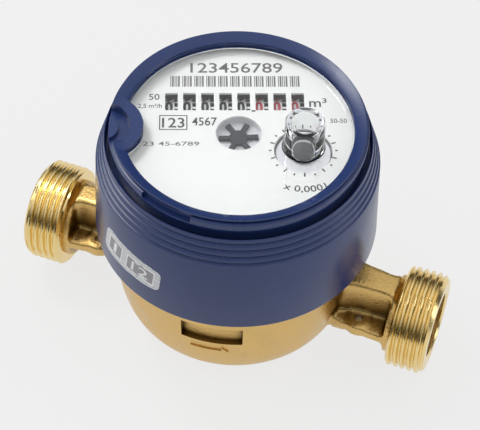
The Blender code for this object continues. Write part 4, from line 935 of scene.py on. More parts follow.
def swept_section(name, along, half_width, top, bottom, power, low_power):
    """A bar along X whose section is a superellipse: Y is the half width times the cosine, and Z the
    top or bottom reach times the sine, both raised to two over the power, which is its own for the
    lower half. The ends close on a point."""
    turn = 2.0 * np.pi * np.arange(SECTION_POINTS) / SECTION_POINTS
    power = np.where(np.sin(turn) < 0.0, low_power, power)
    across = np.sign(np.cos(turn)) * np.abs(np.cos(turn)) ** (2.0 / power)
    upright = np.sign(np.sin(turn)) * np.abs(np.sin(turn)) ** (2.0 / power)
    y = half_width[:, None] * across
    z = PIPE_HEIGHT + np.where(upright > 0.0, top[:, None] * upright, bottom[:, None] * upright)
    points = np.stack((along[:, None] + 0.0 * y, y, z), axis=-1)
    centre = points.mean(axis=1, keepdims=True) + np.zeros_like(points)
    points = np.concatenate((centre[:1], points, centre[-1:]))
    return new_object(name, points, grid_faces(len(points), len(turn), False, True))


def neck():
    """The flat neck between bowl and thread, which narrows outwards and flares into what it meets."""
    along = np.linspace(NECK_START, THREAD_START - COLLAR_LENGTH + NECK_OVERLAP, NECK_ROWS)
    run = (along - NECK_START) / np.ptp(along)
    root = np.clip(1.0 - (along - CHAMBER_RADIUS) / NECK_FLARE_LENGTH, 0.0, 1.0) ** 2
    end = np.clip((along - along[-1] + NECK_END_FLARE_LENGTH) / NECK_END_FLARE_LENGTH, 0.0, 1.0) ** 2
    half_width = (NECK_HALF_WIDTH * (1.0 - (1.0 - NECK_TAPER) * run) + NECK_FLARE * root
                  + NECK_END_FLARE * end)
    top = NECK_TOP - NECK_FALL * run
    bottom = NECK_BOTTOM + (NECK_TOP - NECK_FALL - NECK_BOTTOM) * run
    return swept_section("neck", along, half_width, top, bottom, *NECK_POWERS)


def web():
    """The web in the parting plane of the mould, a little thicker where it meets the bowl."""
    along = np.linspace(WEB_ROOT, THREAD_START - OVERLAP, WEB_ROWS)
    flare = np.clip(1.0 - (along - CHAMBER_RADIUS + WEB_FLARE_START) / WEB_FLARE_LENGTH, 0.0, 1.0) ** 2
    thick = WEB_HALF_THICKNESS + WEB_FLARE * flare
    run = (along - WEB_ROOT) / np.ptp(along)
    half_width = WEB_ROOT_WIDTH + (WEB_HALF_WIDTH - WEB_ROOT_WIDTH) * run
    return swept_section("web", along, half_width, thick, thick, WEB_POWER, WEB_POWER)


def along_pipe(made, side):
    """Lay a piece that was turned about Z along the pipe, towards the outlet (1) or the inlet (-1)."""
    lay = Matrix.Rotation(side * math.pi / 2.0, 4, "Y")
    return moved(made, Matrix.Translation((0.0, 0.0, PIPE_HEIGHT)) @ lay)


def half_turned(made, side):
    """Leave a piece of the outlet side, or turn it about Z for the inlet side."""
    return made if side > 0 else moved(made, Matrix.Rotation(math.pi, 4, "Z"))


def casting_solids(side):
    """Collar, neck, web and seal boss of one side, each a closed solid that reaches into its neighbour."""
    back, front = THREAD_START - COLLAR_LENGTH, THREAD_START + OVERLAP
    collar = turned("collar", [(0.0, back - COLLAR_BEVEL), (COLLAR_RADIUS, back), (COLLAR_RADIUS, front),
                               (0.0, front)], None, SMALL_COLUMNS, closed=False)
    rise = WEB_HALF_THICKNESS + SEAL_BOSS_RISE
    flat, edge = SEAL_BOSS_RADIUS - SEAL_BOSS_BEVEL[0], rise - SEAL_BOSS_BEVEL[1]
    boss = turned("boss", [(0.0, -rise), (flat, -rise), (SEAL_BOSS_RADIUS, -edge),
                           (SEAL_BOSS_RADIUS, edge), (flat, rise), (0.0, rise)], None, BOSS_COLUMNS,
                  closed=False)
    moved(boss, Matrix.Translation((side * SEAL_PLACE[0], SEAL_PLACE[1], PIPE_HEIGHT)))
    return [half_turned(neck(), side), half_turned(web(), side), along_pipe(collar, side), boss]


def casting_cutters(side):
    """The slot from the port into the chamber and the hole for the seal wire."""
    inner, outer = CAVITY_RADIUS - SLOT_PAST[0], THREAD_START + SLOT_PAST[1]
    slot = box("slot", (inner, -CHANNEL[0] / 2.0, PIPE_HEIGHT - CHANNEL[1] / 2.0),
               (outer, CHANNEL[0] / 2.0, PIPE_HEIGHT + CHANNEL[1] / 2.0), None)
    pivot = Matrix.Translation((outer, 0.0, 0.0))
    moved(slot, pivot @ Matrix.Rotation(CHANNEL_SKEW, 4, "Z") @ pivot.inverted())
    hole = cylinder("hole", SEAL_HOLE_RADIUS, *SEAL_HOLE_Z, None, HOLE_COLUMNS)
    moved(hole, Matrix.Translation((side * SEAL_PLACE[0], SEAL_PLACE[1], 0.0)))
    return [half_turned(slot, side), hole]


def build_casting():
    """The cast body: bowl, necks, webs, bosses and collars, run together like metal in a mould by a fine
    voxel skin that is then relaxed. The cored slots, the wire holes and the panel are cut into it."""
    body = turned("body_casting", bowl_outline(), cast_brass(), BODY_COLUMNS, closed=False)
    joined(body, casting_solids(1) + casting_solids(-1))
    applied(body, "REMESH", mode="VOXEL", voxel_size=sizes().voxel)
    applied(body, "SMOOTH", factor=RELAX_FACTOR, iterations=RELAX_TURNS)
    panel = ring_sector(PANEL_ANGLES, PANEL_RADIUS, CHAMBER_RADIUS + CUT_PAST, *PANEL_Z)
    cutters = casting_cutters(1) + casting_cutters(-1)
    combined(body, [joined(panel, cutters)], "DIFFERENCE")
    paint(body.data, cast_brass())
    seat(smooth(body, CAST_CREASE), "meter_body", "cast_brass", "brass_body")


def thread_outline():
    """Section of a threaded end as (radius, height along the pipe), with close rows under the thread."""
    major = sizes().thread_radius
    rows = np.arange(THREAD_START + THREAD_BACK_BEVEL, HALF_LENGTH - THREAD_CHAMFER,
                     sizes().thread_pitch / THREAD_ROWS_A_TURN)
    cone = np.linspace(0.0, 1.0, CHAMFER_ROWS)
    front = np.column_stack((major - THREAD_CHAMFER * cone, HALF_LENGTH - THREAD_CHAMFER * (1.0 - cone)))
    threaded = np.column_stack((np.full(len(rows), major), rows))
    inside = [(PORT_RADIUS + PORT_BEVEL, HALF_LENGTH), (PORT_RADIUS, HALF_LENGTH - PORT_BEVEL),
              (PORT_RADIUS, THREAD_START)]
    back = [(major - THREAD_BACK_BEVEL, THREAD_START)]
    return np.concatenate((back, threaded, front, inside))


def thread_rise(height, radius, angle):
    """Pipe thread form: the radius falls from crest to root along a smooth step of the distance from the
    crest, and the crest climbs one pitch a turn. The chamfer and the bore stay as drawn."""
    s = sizes()
    place = (height / s.thread_pitch - angle / (2.0 * np.pi)) % 1.0
    ridge = np.clip((1.0 - np.abs(2.0 * place - 1.0) - THREAD_ROOT_SHARE) / THREAD_FLANK_SHARE, 0.0, 1.0)
    ridge = ridge * ridge * (3.0 - 2.0 * ridge)
    thread = s.thread_radius - s.thread_depth * (1.0 - ridge)
    outer = radius > s.thread_radius - THREAD_CHAMFER - THREAD_SLACK
    return np.where(outer, np.minimum(radius, thread), radius)


def build_threads():
    """The two machined ends with their helical pipe thread."""
    for name, side in (("outlet_thread", 1), ("inlet_thread", -1)):
        end = turned(name, thread_outline(), cut_brass(), LARGE_COLUMNS, rise=thread_rise)
        seat(smooth(along_pipe(end, side), FINE_CREASE), "meter_body", "cast_brass")


def skirt_radius(height):
    """Radius of the skirt's outer face, which tapers evenly upwards."""
    share_up = (height - SKIRT_RIM[1]) / (SKIRT_TOP[1] - SKIRT_RIM[1])
    return SKIRT_RIM[0] + (SKIRT_TOP[0] - SKIRT_RIM[0]) * share_up


def casing_outline():
    """Section of the casing: rim, tapered skirt, terraced shoulder, ledge and the lip in the groove."""
    step = np.arange(SHOULDER_STEPS)
    rise = (SHOULDER[1] - SKIRT_TOP[1]) / SHOULDER_STEPS
    run = (SKIRT_TOP[0] - SHOULDER[0]) / SHOULDER_STEPS
    edge, foot = SKIRT_TOP[0] - step * run, SKIRT_TOP[1] + step * rise
    terraces = np.stack((
        np.column_stack((edge, foot)),
        np.column_stack((edge - STEP_LEDGE, foot + STEP_LEVELS[0])),
        np.column_stack((edge - STEP_LEDGE, foot + STEP_LEVELS[1])),
        np.column_stack((edge - STEP_LEDGE + STEP_LIP, foot + STEP_LEVELS[2])),
    ), axis=1).reshape(-1, 2)
    inner = (SKIRT_RIM[0] - CASING_WALL, SKIRT_TOP[0] - CASING_WALL)
    lip = CHAMBER_RADIUS - GROOVE_DEPTH + GAP
    lip_low, lip_high = GROOVE_BOTTOM + GAP, GROOVE_TOP - GAP
    ledge = CUP_RADIUS + RUN_GAP
    ledge_low = LEDGE_HEIGHT - LEDGE_THICKNESS
    shoulder = SHOULDER[0] - SHOULDER_EDGE[0]
    inside = [SHOULDER, (shoulder, SHOULDER[1] - SHOULDER_EDGE[1]), (shoulder, LEDGE_HEIGHT),
              (ledge, LEDGE_HEIGHT), (ledge, ledge_low),
              (inner[1], ledge_low - WALL_BLEND), (inner[0], lip_high + WALL_BLEND),
              (CHAMBER_RADIUS + RUN_GAP, lip_high), (lip, lip_high), (lip, lip_low),
              (inner[0], lip_low - LIP_BLEND), (inner[0], SKIRT_RIM[1])]
    rim = [(SKIRT_RIM[0] - RIM_BEVEL, SKIRT_RIM[1]), (SKIRT_RIM[0], SKIRT_RIM[1] + RIM_BEVEL)]
    return np.concatenate((rim, terraces, inside))


def build_casing():
    """The blue casing, turned from its section with moulded edges."""
    outline = rounded(casing_outline(), sizes().plastic_edge)
    casing = turned("head_casing", outline, blue_plastic(), LARGE_COLUMNS)
    seat(smooth(head_turned(casing), CASING_CREASE), "head", "blue_plastic", "casing")


def ring_sector(angles, inner, outer, low, high):
    """A cutter bounded by two radii, two angles and two heights."""
    turn = np.linspace(*angles, SECTOR_ROWS)
    arc = np.column_stack((np.cos(turn), np.sin(turn)))
    outline = np.concatenate((arc * outer, arc[::-1] * inner))
    return slab("sector", outline, low, high, None)


def slab(name, outline, low, high, look):
    """An upright solid over any outline: two rings of it joined by quads and closed by a face each."""
    points = np.stack([np.column_stack((outline, np.full(len(outline), level))) for level in (low, high)])
    made = new_object(name, points, grid_faces(2, len(outline), False, True), look)
    work = bmesh.new()
    work.from_mesh(made.data)
    bmesh.ops.holes_fill(work, edges=[edge for edge in work.edges if edge.is_boundary])
    bmesh.ops.recalc_face_normals(work, faces=work.faces)
    work.to_mesh(made.data)
    work.free()
    return made


def cylinder(name, radius, low, high, look, columns=MIDDLE_COLUMNS):
    """A plain closed cylinder on the axis."""
    outline = [(0.0, low), (radius, low), (radius, high), (0.0, high)]
    return turned(name, outline, look, columns, closed=False)


def build_ring():
    """The ring over the lens: dished top, lid slot, hinge bulge and pocket, with moulded edges."""
    groove_top = RING_TOP - RING_GROOVE_DROP
    dish = RING_TOP - RING_DISH
    outline = [
        (FLANGE_RADIUS + RUN_GAP, LEDGE_HEIGHT + GAP), (RING_EDGE_RADIUS, LEDGE_HEIGHT + GAP),
        (RING_EDGE_RADIUS, BAND_BOTTOM), (RING_BAND_RADIUS, BAND_BOTTOM + RING_DRAFT),
        (RING_BAND_RADIUS, BAND_TOP), (RING_GROOVE_RADIUS, BAND_TOP + RING_DRAFT),
        (RING_GROOVE_RADIUS, groove_top - RING_DRAFT), (RING_EDGE_RADIUS, groove_top),
        (RING_EDGE_RADIUS, RING_TOP), (DIAL_OPENING_RADIUS, dish - RING_DRAFT),
        (DIAL_OPENING_RADIUS, FLANGE_TOP + GAP), (FLANGE_RADIUS + RUN_GAP, FLANGE_TOP + GAP)]
    look = blue_plastic()
    ring = turned("head_ring", rounded(outline, sizes().plastic_edge), look, LARGE_COLUMNS)
    hinge = Matrix.Translation((HINGE_X, 0.0, 0.0))
    bulge = moved(cylinder("bulge", BULGE_RADIUS, FLANGE_TOP + GAP, dish + RING_DRAFT, look), hinge)
    inside = cylinder("inside", DIAL_OPENING_RADIUS + BULGE_OVERLAP, FLANGE_TOP, RING_TOP, look)
    combined(bulge, [inside], "INTERSECT")
    combined(ring, [bulge], "UNION")
    floor = BAND_BOTTOM + POCKET_FLOOR
    pocket = moved(cylinder("pocket", POCKET_RADIUS, floor, RING_TOP + OVER, look), hinge)
    past_band = RING_BAND_RADIUS + OVER
    slot = ring_sector(LID_SLOT_ANGLES, RING_EDGE_RADIUS - LID_SLOT_DEPTH, past_band,
                       BAND_BOTTOM + LID_SLOT_SILL, BAND_TOP + LID_SLOT_HEAD)
    lip = ring_sector(LIP_SLOT_ANGLES, RING_GROOVE_RADIUS, past_band, BAND_TOP - OVERLAP,
                      groove_top + LID_SLOT_HEAD)
    combined(ring, [pocket, slot, lip], "DIFFERENCE")
    boss = cylinder("boss", POCKET_BOSS_RADIUS, floor - RING_DRAFT, floor + POCKET_BOSS_RISE, look)
    moved(boss, hinge)
    limit = cylinder("limit", RING_BAND_RADIUS - RING_DRAFT, floor - OVER, RING_TOP, look)
    combined(boss, [limit], "INTERSECT")
    combined(ring, [boss], "UNION")
    paint(ring.data, look)
    seat(smooth(head_turned(ring), MOULD_CREASE), "head", "blue_plastic", "bezel_ring")


def build_lens():
    """The clear lens: a disc notched for the hinge, its hidden flange, and the tube for a pulse sensor."""
    look = clear_plastic()
    radius = DIAL_OPENING_RADIUS - GAP
    outline = [(0.0, FLANGE_BOTTOM), (FLANGE_RADIUS, FLANGE_BOTTOM), (FLANGE_RADIUS, FLANGE_TOP),
               (radius, FLANGE_TOP), (radius, LENS_TOP - LENS_BEVEL), (radius - LENS_BEVEL, LENS_TOP),
               (0.0, LENS_TOP)]
    disc = turned("head_lens", outline, look, LENS_COLUMNS, closed=False)
    notch = moved(cylinder("notch", BULGE_RADIUS + GAP, FLANGE_TOP, LENS_TOP + OVER, look),
                  Matrix.Translation((HINGE_X, 0.0, 0.0)))
    combined(disc, [notch], "DIFFERENCE")
    foot, low = LENS_TOP + TUBE_FOOT, FLANGE_BOTTOM + TUBE_FLARE
    wide = TUBE_RADIUS + TUBE_FLARE
    outline = [(0.0, low), (wide, low), (wide, LENS_TOP - TUBE_SINK),
               (TUBE_RADIUS + TUBE_SINK, foot), (TUBE_RADIUS, foot + TUBE_FLARE),
               (TUBE_RADIUS - TUBE_DRAFT, TUBE_TOP - BORE_MOUTH), (TUBE_RADIUS - TUBE_BEVEL, TUBE_TOP),
               (0.0, TUBE_TOP)]
    tube = turned("tube", outline, look, SMALL_COLUMNS, closed=False)
    combined(disc, [at_pointer(tube)], "UNION")
    floor = FLANGE_BOTTOM + TUBE_FLOOR
    outline = [(0.0, floor), (TUBE_BORE_RADIUS - BORE_BEVEL, floor), (TUBE_BORE_RADIUS, floor + BORE_BEVEL),
               (TUBE_BORE_RADIUS, TUBE_TOP - BORE_MOUTH), (TUBE_BORE_RADIUS + BORE_MOUTH, TUBE_TOP),
               (TUBE_BORE_RADIUS + TUBE_BEVEL, TUBE_TOP + OVER), (0.0, TUBE_TOP + OVER)]
    bore = turned("bore", outline, look, SMALL_COLUMNS, closed=False)
    combined(disc, [at_pointer(bore)], "DIFFERENCE")
    paint(disc.data, look)
    seat(smooth(head_turned(disc), MOULD_CREASE), "head", "clear_plastic", "lens")


def build_arrow():
    """The raised flow arrow under the panel: a shaft and a head whose x becomes the angle round the bowl
    and whose y the height, laid on the bowl's own outline."""
    shaft, tip, barb = ARROW_SHAFT, ARROW_TIP, ARROW_BARB
    outline = np.array([(-tip, -shaft), (tip - barb, -shaft), (tip - barb, -barb), (tip, 0.0),
                        (tip - barb, barb), (tip - barb, shaft), (-tip, shaft)])
    made = slab("flow_arrow", outline, -ARROW_SINK, ARROW_RISE, cast_brass())
    sliced(made, np.linspace(-tip, tip, ARROW_SLICES[0])[1:-1], 0)
    sliced(made, np.linspace(-barb, barb, ARROW_SLICES[1])[1:-1], 1)
    points = vertex_array(made.data)
    height = ARROW_PLACE[1] + points[:, 1]
    bowl = bowl_outline()[2:2 + FLANK_ROWS + 4]
    reach = np.interp(height, bowl[:, 1], bowl[:, 0]) + points[:, 2]
    angle = ARROW_PLACE[0] + points[:, 0] / CHAMBER_RADIUS
    set_vertices(made.data, np.column_stack((reach * np.cos(angle), reach * np.sin(angle), height)))
    mend(made.data)
    seat(smooth(made, FINE_CREASE), "meter_body", "cast_brass")


def drum_x(place):
    """Middle of a roller, counted from the right."""
    return DRUM_ROW[0] + DRUM_PITCH * ((DRUM_COUNT - 1) / 2.0 - place)


def star_recess():
    """The shallow grey pan under the dial round the leak star, open in the middle for its arbor."""
    low, under = RECESS_FLOOR
    top = DIAL_TOP - DIAL_THICKNESS - RECESS_GAP
    wall = STAR_WINDOW_RADIUS + RECESS_WALL
    outline = [(RECESS_HOLE, low), (wall + RECESS_WALL, low), (wall + RECESS_WALL, top), (wall, top),
               (wall, under), (RECESS_HOLE, under)]
    return turned("star_recess", outline, plain_plastic("recess_plastic", colours().recess), SMALL_COLUMNS)


def build_dial():
    """The dial plate with its windows cut through."""
    low = DIAL_TOP - DIAL_THICKNESS
    plate = cylinder("dial_face", DIAL_RADIUS, low, DIAL_TOP, dial_white(), LENS_COLUMNS)
    cut_low, cut_high = low - OVER, DIAL_TOP + OVER
    cutters = []
    for place in range(DRUM_COUNT):
        x, y = drum_x(place), DRUM_ROW[1] + WINDOW_SHIFT
        cutters.append(box("window", (x - WINDOW[0] / 2.0, y - WINDOW[1] / 2.0, cut_low),
                           (x + WINDOW[0] / 2.0, y + WINDOW[1] / 2.0, cut_high), None))
    cutters.append(cylinder("star_window", STAR_WINDOW_RADIUS, cut_low, cut_high, None))
    cutters.append(at_pointer(cylinder("pointer_window", POINTER_WINDOW_RADIUS, cut_low, cut_high, None)))
    combined(plate, [joined(cutters[0], cutters[1:])], "DIFFERENCE")
    joined(plate, [star_recess()])
    seat(smooth(head_turned(plate), MOULD_CREASE), "head", "dial_white", "dial_plate")


def placed(made, x, y):
    """Put a flat print on the dial's top at a place of the upright dial."""
    return moved(made, Matrix.Translation((x, y, DIAL_TOP)))


def bars(look):
    """Eleven groups of bars: five bars a group, one or two modules wide by a plain counting rule, with
    one module between them and three more after a group."""
    count = BARS_A_GROUP
    number = np.arange(count * BAR_GROUPS)
    wide = 1.0 + ((number * count + number // count * 3) % 7 > 3)
    gap = 1.0 + 2.0 * (number % count == count - 1)
    start = np.concatenate(([0.0], np.cumsum(wide + gap)[:-1]))
    module = np.ptp(BAR_X) / (start[-1] + wide[-1])
    left = BAR_X[0] + start * module
    right = left + wide * module
    prints = [box("bar", (a, BAR_Y[0], DIAL_TOP), (b, BAR_Y[1], DIAL_TOP + sizes().print_height), look)
              for a, b in zip(left, right)]
    return joined(prints[0], prints[1:])


def frame_lines(x, y, width, height, line, look):
    """A rectangle drawn with four strips."""
    strips = []
    for side in (-1.0, 1.0):
        for cx, cy, w, h in ((x + side * (width - line) / 2.0, y, line, height),
                             (x, y + side * (height - line) / 2.0, width - 2.0 * line, line)):
            strips.append(box("strip", (cx - w / 2.0, cy - h / 2.0, DIAL_TOP),
                              (cx + w / 2.0, cy + h / 2.0, DIAL_TOP + sizes().print_height), look))
    return joined(strips[0], strips[1:])


def ticks(look):
    """Marks round the pointer window, longer at each tenth."""
    marks, half = [], TICK_WIDTH / 2.0
    for number in range(TICK_COUNT):
        inner = TICK_RADIUS - (TICK_LONG if number % 2 else TICK_SHORT)
        mark = box("tick", (inner, -half, 0.0), (TICK_RADIUS, half, sizes().print_height), look)
        turn = Matrix.Rotation(2.0 * math.pi * number / TICK_COUNT, 4, "Z")
        marks.append(placed(moved(mark, turn), *POINTER))
    return joined(marks[0], marks[1:])


def curved_text(name, words, height, width, radius, look):
    """Text below the pointer window: x becomes the angle from straight down, y the depth to the centre."""
    made = flat_text(name, words, height, look, width=width)
    points = vertex_array(made.data)
    angle = points[:, 0] / radius - np.pi / 2.0
    reach = radius - points[:, 1]
    set_vertices(made.data, np.column_stack((reach * np.cos(angle), reach * np.sin(angle), points[:, 2])))
    return placed(made, *POINTER)


def build_print():
    """All ink on the dial, joined by colour: plain numbers, bars, marks and the unit."""
    c = colours()
    grey, black = ink("grey_ink", c.grey_ink), ink("black_ink", c.ink)
    greys = [bars(grey)]
    for name, words, height, width, x, y in GREY_WORDS:
        greys.append(placed(flat_text(name, words, height, grey, width=width), x, y))
    x, y, width, height = DECIMAL_MARK
    blacks = [ticks(black), frame_lines(*NUMBER_BOX, black),
              box("decimal_mark", (x - width / 2.0, y - height / 2.0, DIAL_TOP),
                  (x + width / 2.0, y + height / 2.0, DIAL_TOP + sizes().print_height), black)]
    for name, words, height, width, x, y in BLACK_WORDS:
        blacks.append(placed(flat_text(name, words, height, black, width=width), x, y))
    blacks.append(curved_text(*POINTER_TEXT, black))
    for name, prints in (("dial_bars_and_numbers", greys), ("dial_marks", blacks)):
        made = joined(prints[0], prints[1:])
        made.name = name
        seat(head_turned(made), "head", "dial_white")


def roller_rise(height, radius, angle):
    """The wide rim stays round. The flange beside it carries twenty flat teeth: there the radius
    steps between tooth tip and root with the sign of a cosine of twenty times the angle."""
    tooth = np.clip(0.5 + TOOTH_STEEPNESS * np.cos(DRUM_TEETH * angle), 0.0, 1.0)
    flange = (height > DRUM_RIM_EDGE + TOOTH_SLACK) & (radius > DRUM_TOOTH_ROOT)
    return np.where(flange, DRUM_TOOTH_ROOT + (radius - DRUM_TOOTH_ROOT) * tooth, radius)


def shade_gaps(roller):
    """Painted shade: the bottoms between the flange's teeth, the faces that look outwards at the root
    radius, are coloured dark for the shadow that falls between the teeth.
    """
    mesh = roller.data
    mesh.materials.append(plain_plastic("painted_gap_shade", colours().gap))
    centres = np.empty(len(mesh.polygons) * 3)
    mesh.polygons.foreach_get("center", centres)
    centres = centres.reshape(-1, 3)
    reach = np.hypot(centres[:, 0], centres[:, 1])
    low = (reach > 2.0 * DRUM_BORE) & (reach < DRUM_TOOTH_TIP - GAP_MARGIN)
    gap = (centres[:, 2] > DRUM_RIM_EDGE) & low
    mesh.polygons.foreach_set("material_index", gap.astype(np.int32))
    mesh.update()


def build_rollers():
    """Eight number rollers. A digit's x stays on the axis and its y becomes the angle round it."""
    c, s = colours(), sizes()
    axis_z = DIAL_TOP - DIAL_THICKNESS - DRUM_DROP - DRUM_RADIUS
    start = DRUM_RIM_EDGE - DRUM_RIM_WIDTH
    end = DRUM_RIM_EDGE + DRUM_TOOTH_WIDTH
    bevel, foot = ROLLER_BEVEL, DRUM_RIM_EDGE + TOOTH_DRAFT
    outline = [(DRUM_BORE, start), (DRUM_RADIUS - bevel, start), (DRUM_RADIUS, start + bevel),
               (DRUM_RADIUS, DRUM_RIM_EDGE - bevel), (DRUM_RADIUS - bevel, DRUM_RIM_EDGE),
               (DRUM_TOOTH_ROOT - bevel, DRUM_RIM_EDGE), (DRUM_TOOTH_ROOT, foot), (DRUM_TOOTH_TIP, foot),
               (DRUM_TOOTH_TIP, end - bevel), (DRUM_TOOTH_TIP - bevel, end), (DRUM_BORE, end)]
    for place in range(DRUM_COUNT):
        red = place < RED_ROLLERS
        look = ink("red_ink", c.red_ink) if red else ink("black_ink", c.ink)
        roller = turned(f"number_roller_{place + 1}", outline, roller_white(), ROLLER_COLUMNS,
                        rise=roller_rise)
        # Painted shade on the bottoms between the teeth
        shade_gaps(roller)
        moved(roller, Matrix.Rotation(math.pi / 2.0, 4, "Y"))
        digits = []
        for digit in range(DIGITS):
            mark = flat_text("digit", str(digit), s.digit_height, look, weight=DIGIT_WEIGHT,
                             width=DIGIT_WIDTH * (NARROW_ONE if digit == 1 else 1.0))
            sliced(mark, np.linspace(-0.5, 0.5, DIGIT_SLICES)[1:-1] * s.digit_height)
            points = vertex_array(mark.data)
            angle = points[:, 1] / DRUM_RADIUS - 2.0 * np.pi * digit / DIGITS + s.roller_angle
            reach = DRUM_RADIUS + points[:, 2]
            x = points[:, 0] + start + DRUM_RIM_WIDTH / 2.0
            set_vertices(mark.data, np.column_stack((x, reach * np.sin(angle), reach * np.cos(angle))))
            digits.append(mark)
        joined(roller, digits)
        moved(roller, Matrix.Translation((drum_x(place), DRUM_ROW[1], axis_z)))
        slot = "red_plastic" if red else "white_plastic"
        seat(smooth(head_turned(roller), MOULD_CREASE), f"roller_{place + 1}", slot, f"drum_{place + 1}")


def build_star():
    """The leak star. Its outline in polar form is the larger of the hub radius and the reach of the
    nearest arm, which is half the arm's width over the sine, or the tip over the cosine, of the angle
    to it."""
    angles = 2.0 * np.pi * np.arange(STAR_POINTS) / STAR_POINTS
    step = 2.0 * np.pi / STAR_ARMS
    off = np.abs((angles - STAR_TURN + step / 2.0) % step - step / 2.0)
    arm = np.minimum(STAR_HALF_WIDTH / np.maximum(np.sin(off), 1e-6), STAR_TIP / np.cos(off))
    reach = np.maximum(STAR_HUB, arm)
    outline = np.column_stack((reach * np.cos(angles), reach * np.sin(angles)))
    look = plain_plastic("star_plastic", colours().star)
    star = prism("leak_star", outline, *STAR_Z, look, STAR_BEVEL)
    seat(smooth(head_turned(star), STAR_CREASE), "centre", "dark_plastic", "star_wheel")


def build_pointer():
    """The pointer disc with its boss and a moulded red mark, and the magnet that a sensor reads."""
    low, high = POINTER_DISC_Z
    stub, below = POINTER_STUB
    edge, bevel = POINTER_DISC_RADIUS, POINTER_DISC_BEVEL
    outline = [(0.0, low - below), (stub, low - below), (stub, low), (edge - bevel, low),
               (edge, low + bevel), (edge, high - bevel), (edge - bevel, high), (0.0, high)]
    look = plain_plastic("recess_plastic", colours().recess)
    disc = turned("pointer_face", outline, look, MIDDLE_COLUMNS, closed=False)
    mark = slab("mark", np.array(POINTER_MARK), high - POINTER_MARK_RISE, high + POINTER_MARK_RISE,
                ink("red_ink", colours().red_ink))
    joined(disc, [moved(mark, Matrix.Rotation(POINTER_MARK_TURN, 4, "Z"))])
    seat(smooth(head_turned(at_pointer(disc)), MOULD_CREASE), "pointer", "grey_plastic", "pointer_disc")
    foot, top = POINTER_HUB_Z
    edge, bevel = POINTER_HUB_RADIUS, POINTER_HUB_BEVEL
    outline = [(0.0, foot), (edge, foot), (edge, top - bevel), (edge - bevel, top), (0.0, top)]
    hub = turned("pointer_hub", outline, ferrite(), SMALL_COLUMNS, closed=False)
    seat(smooth(head_turned(at_pointer(hub)), MOULD_CREASE), "pointer", "ferrite", "pointer_magnet")


def on_skirt(u, v, lift):
    """Points of the seal label: u and v from 0 to 1 blend its four corners, given as angle and height,
    and the radius is the skirt's at that height plus the lift."""
    low = LABEL_LOW[0] * (1.0 - u)[:, None] + LABEL_LOW[1] * u[:, None]
    high = LABEL_HIGH[0] * (1.0 - u)[:, None] + LABEL_HIGH[1] * u[:, None]
    place = low * (1.0 - v)[:, None] + high * v[:, None]
    angle, height = np.radians(place[:, 0]), place[:, 1]
    radius = skirt_radius(height) + lift
    return np.column_stack((radius * np.cos(angle), radius * np.sin(angle), height))


def label_patch(name, u_range, v_range, low, high, look, corner=LABEL_CORNER):
    """A closed film over part of the label: rings of a rounded square grow from its middle to its edge on
    top and shrink back underneath."""
    turn = 2.0 * np.pi * np.arange(SMALL_COLUMNS) / SMALL_COLUMNS
    across = np.sign(np.cos(turn)) * np.abs(np.cos(turn)) ** (2.0 / corner)
    upright = np.sign(np.sin(turn)) * np.abs(np.sin(turn)) ** (2.0 / corner)
    rings = np.concatenate((np.linspace(0.0, 1.0, LABEL_RINGS), np.linspace(1.0, 0.0, LABEL_RINGS)))
    lift = np.repeat((high, low), LABEL_RINGS)
    middle = (np.mean(u_range), np.mean(v_range))
    half = (np.ptp(u_range) / 2.0, np.ptp(v_range) / 2.0)
    u = middle[0] + half[0] * np.outer(rings, across)
    v = middle[1] + half[1] * np.outer(rings, upright)
    points = on_skirt(u.ravel(), v.ravel(), np.repeat(lift, SMALL_COLUMNS))
    return new_object(name, points, grid_faces(2 * LABEL_RINGS, SMALL_COLUMNS, False, True), look)


def label_frame(name, u_range, v_range, line, low, high, look):
    """The outline of a box on the label, as four films."""
    u_line, v_line = line
    sides = ((u_range, (v_range[0], v_range[0] + v_line)), (u_range, (v_range[1] - v_line, v_range[1])),
             ((u_range[0], u_range[0] + u_line), v_range), ((u_range[1] - u_line, u_range[1]), v_range))
    films = [label_patch(name, u_side, v_side, low, high, look, LINE_CORNER) for u_side, v_side in sides]
    return joined(films[0], films[1:])


def build_label():
    """The silver seal label on the skirt, with one plain digit and two in its grey boxes."""
    c, rise, film = colours(), sizes().label_rise, sizes().print_height
    fine = (6000.0, 0.000002)
    white = finish_material("label_white", c.dial, roughness=0.45, grain=fine, tone=(300.0, 0.05))
    grey = finish_material("label_grey", c.label_box, roughness=0.45, grain=fine, tone=(300.0, 0.12))
    label = label_patch("seal_label", (0.0, 1.0), (0.0, 1.0), LABEL_FOOT, rise, label_film())
    parts = []
    for words, wide, (u_range, v_range) in LABEL_BOXES:
        parts.append(label_patch("box", u_range, v_range, rise, rise + film, grey, BOX_CORNER))
        parts.append(label_frame("frame", u_range, v_range, LABEL_LINE, rise, rise + 2.0 * film, white))
        digits = sliced(flat_text("label_digits", words, 1.0, white, width=1.0, thickness=1.0),
                        np.linspace(-LABEL_CUT_REACH, LABEL_CUT_REACH, LABEL_CUTS))
        points = vertex_array(digits.data)
        u = np.mean(u_range) + points[:, 0] * wide * np.ptp(u_range)
        v = np.mean(v_range) + points[:, 1] * LABEL_DIGITS_HIGH * np.ptp(v_range)
        set_vertices(digits.data, on_skirt(u, v, rise + film + points[:, 2] * film))
        parts.append(digits)
    joined(label, parts)
    seat(smooth(label, FINE_CREASE), "head", "dial_white")


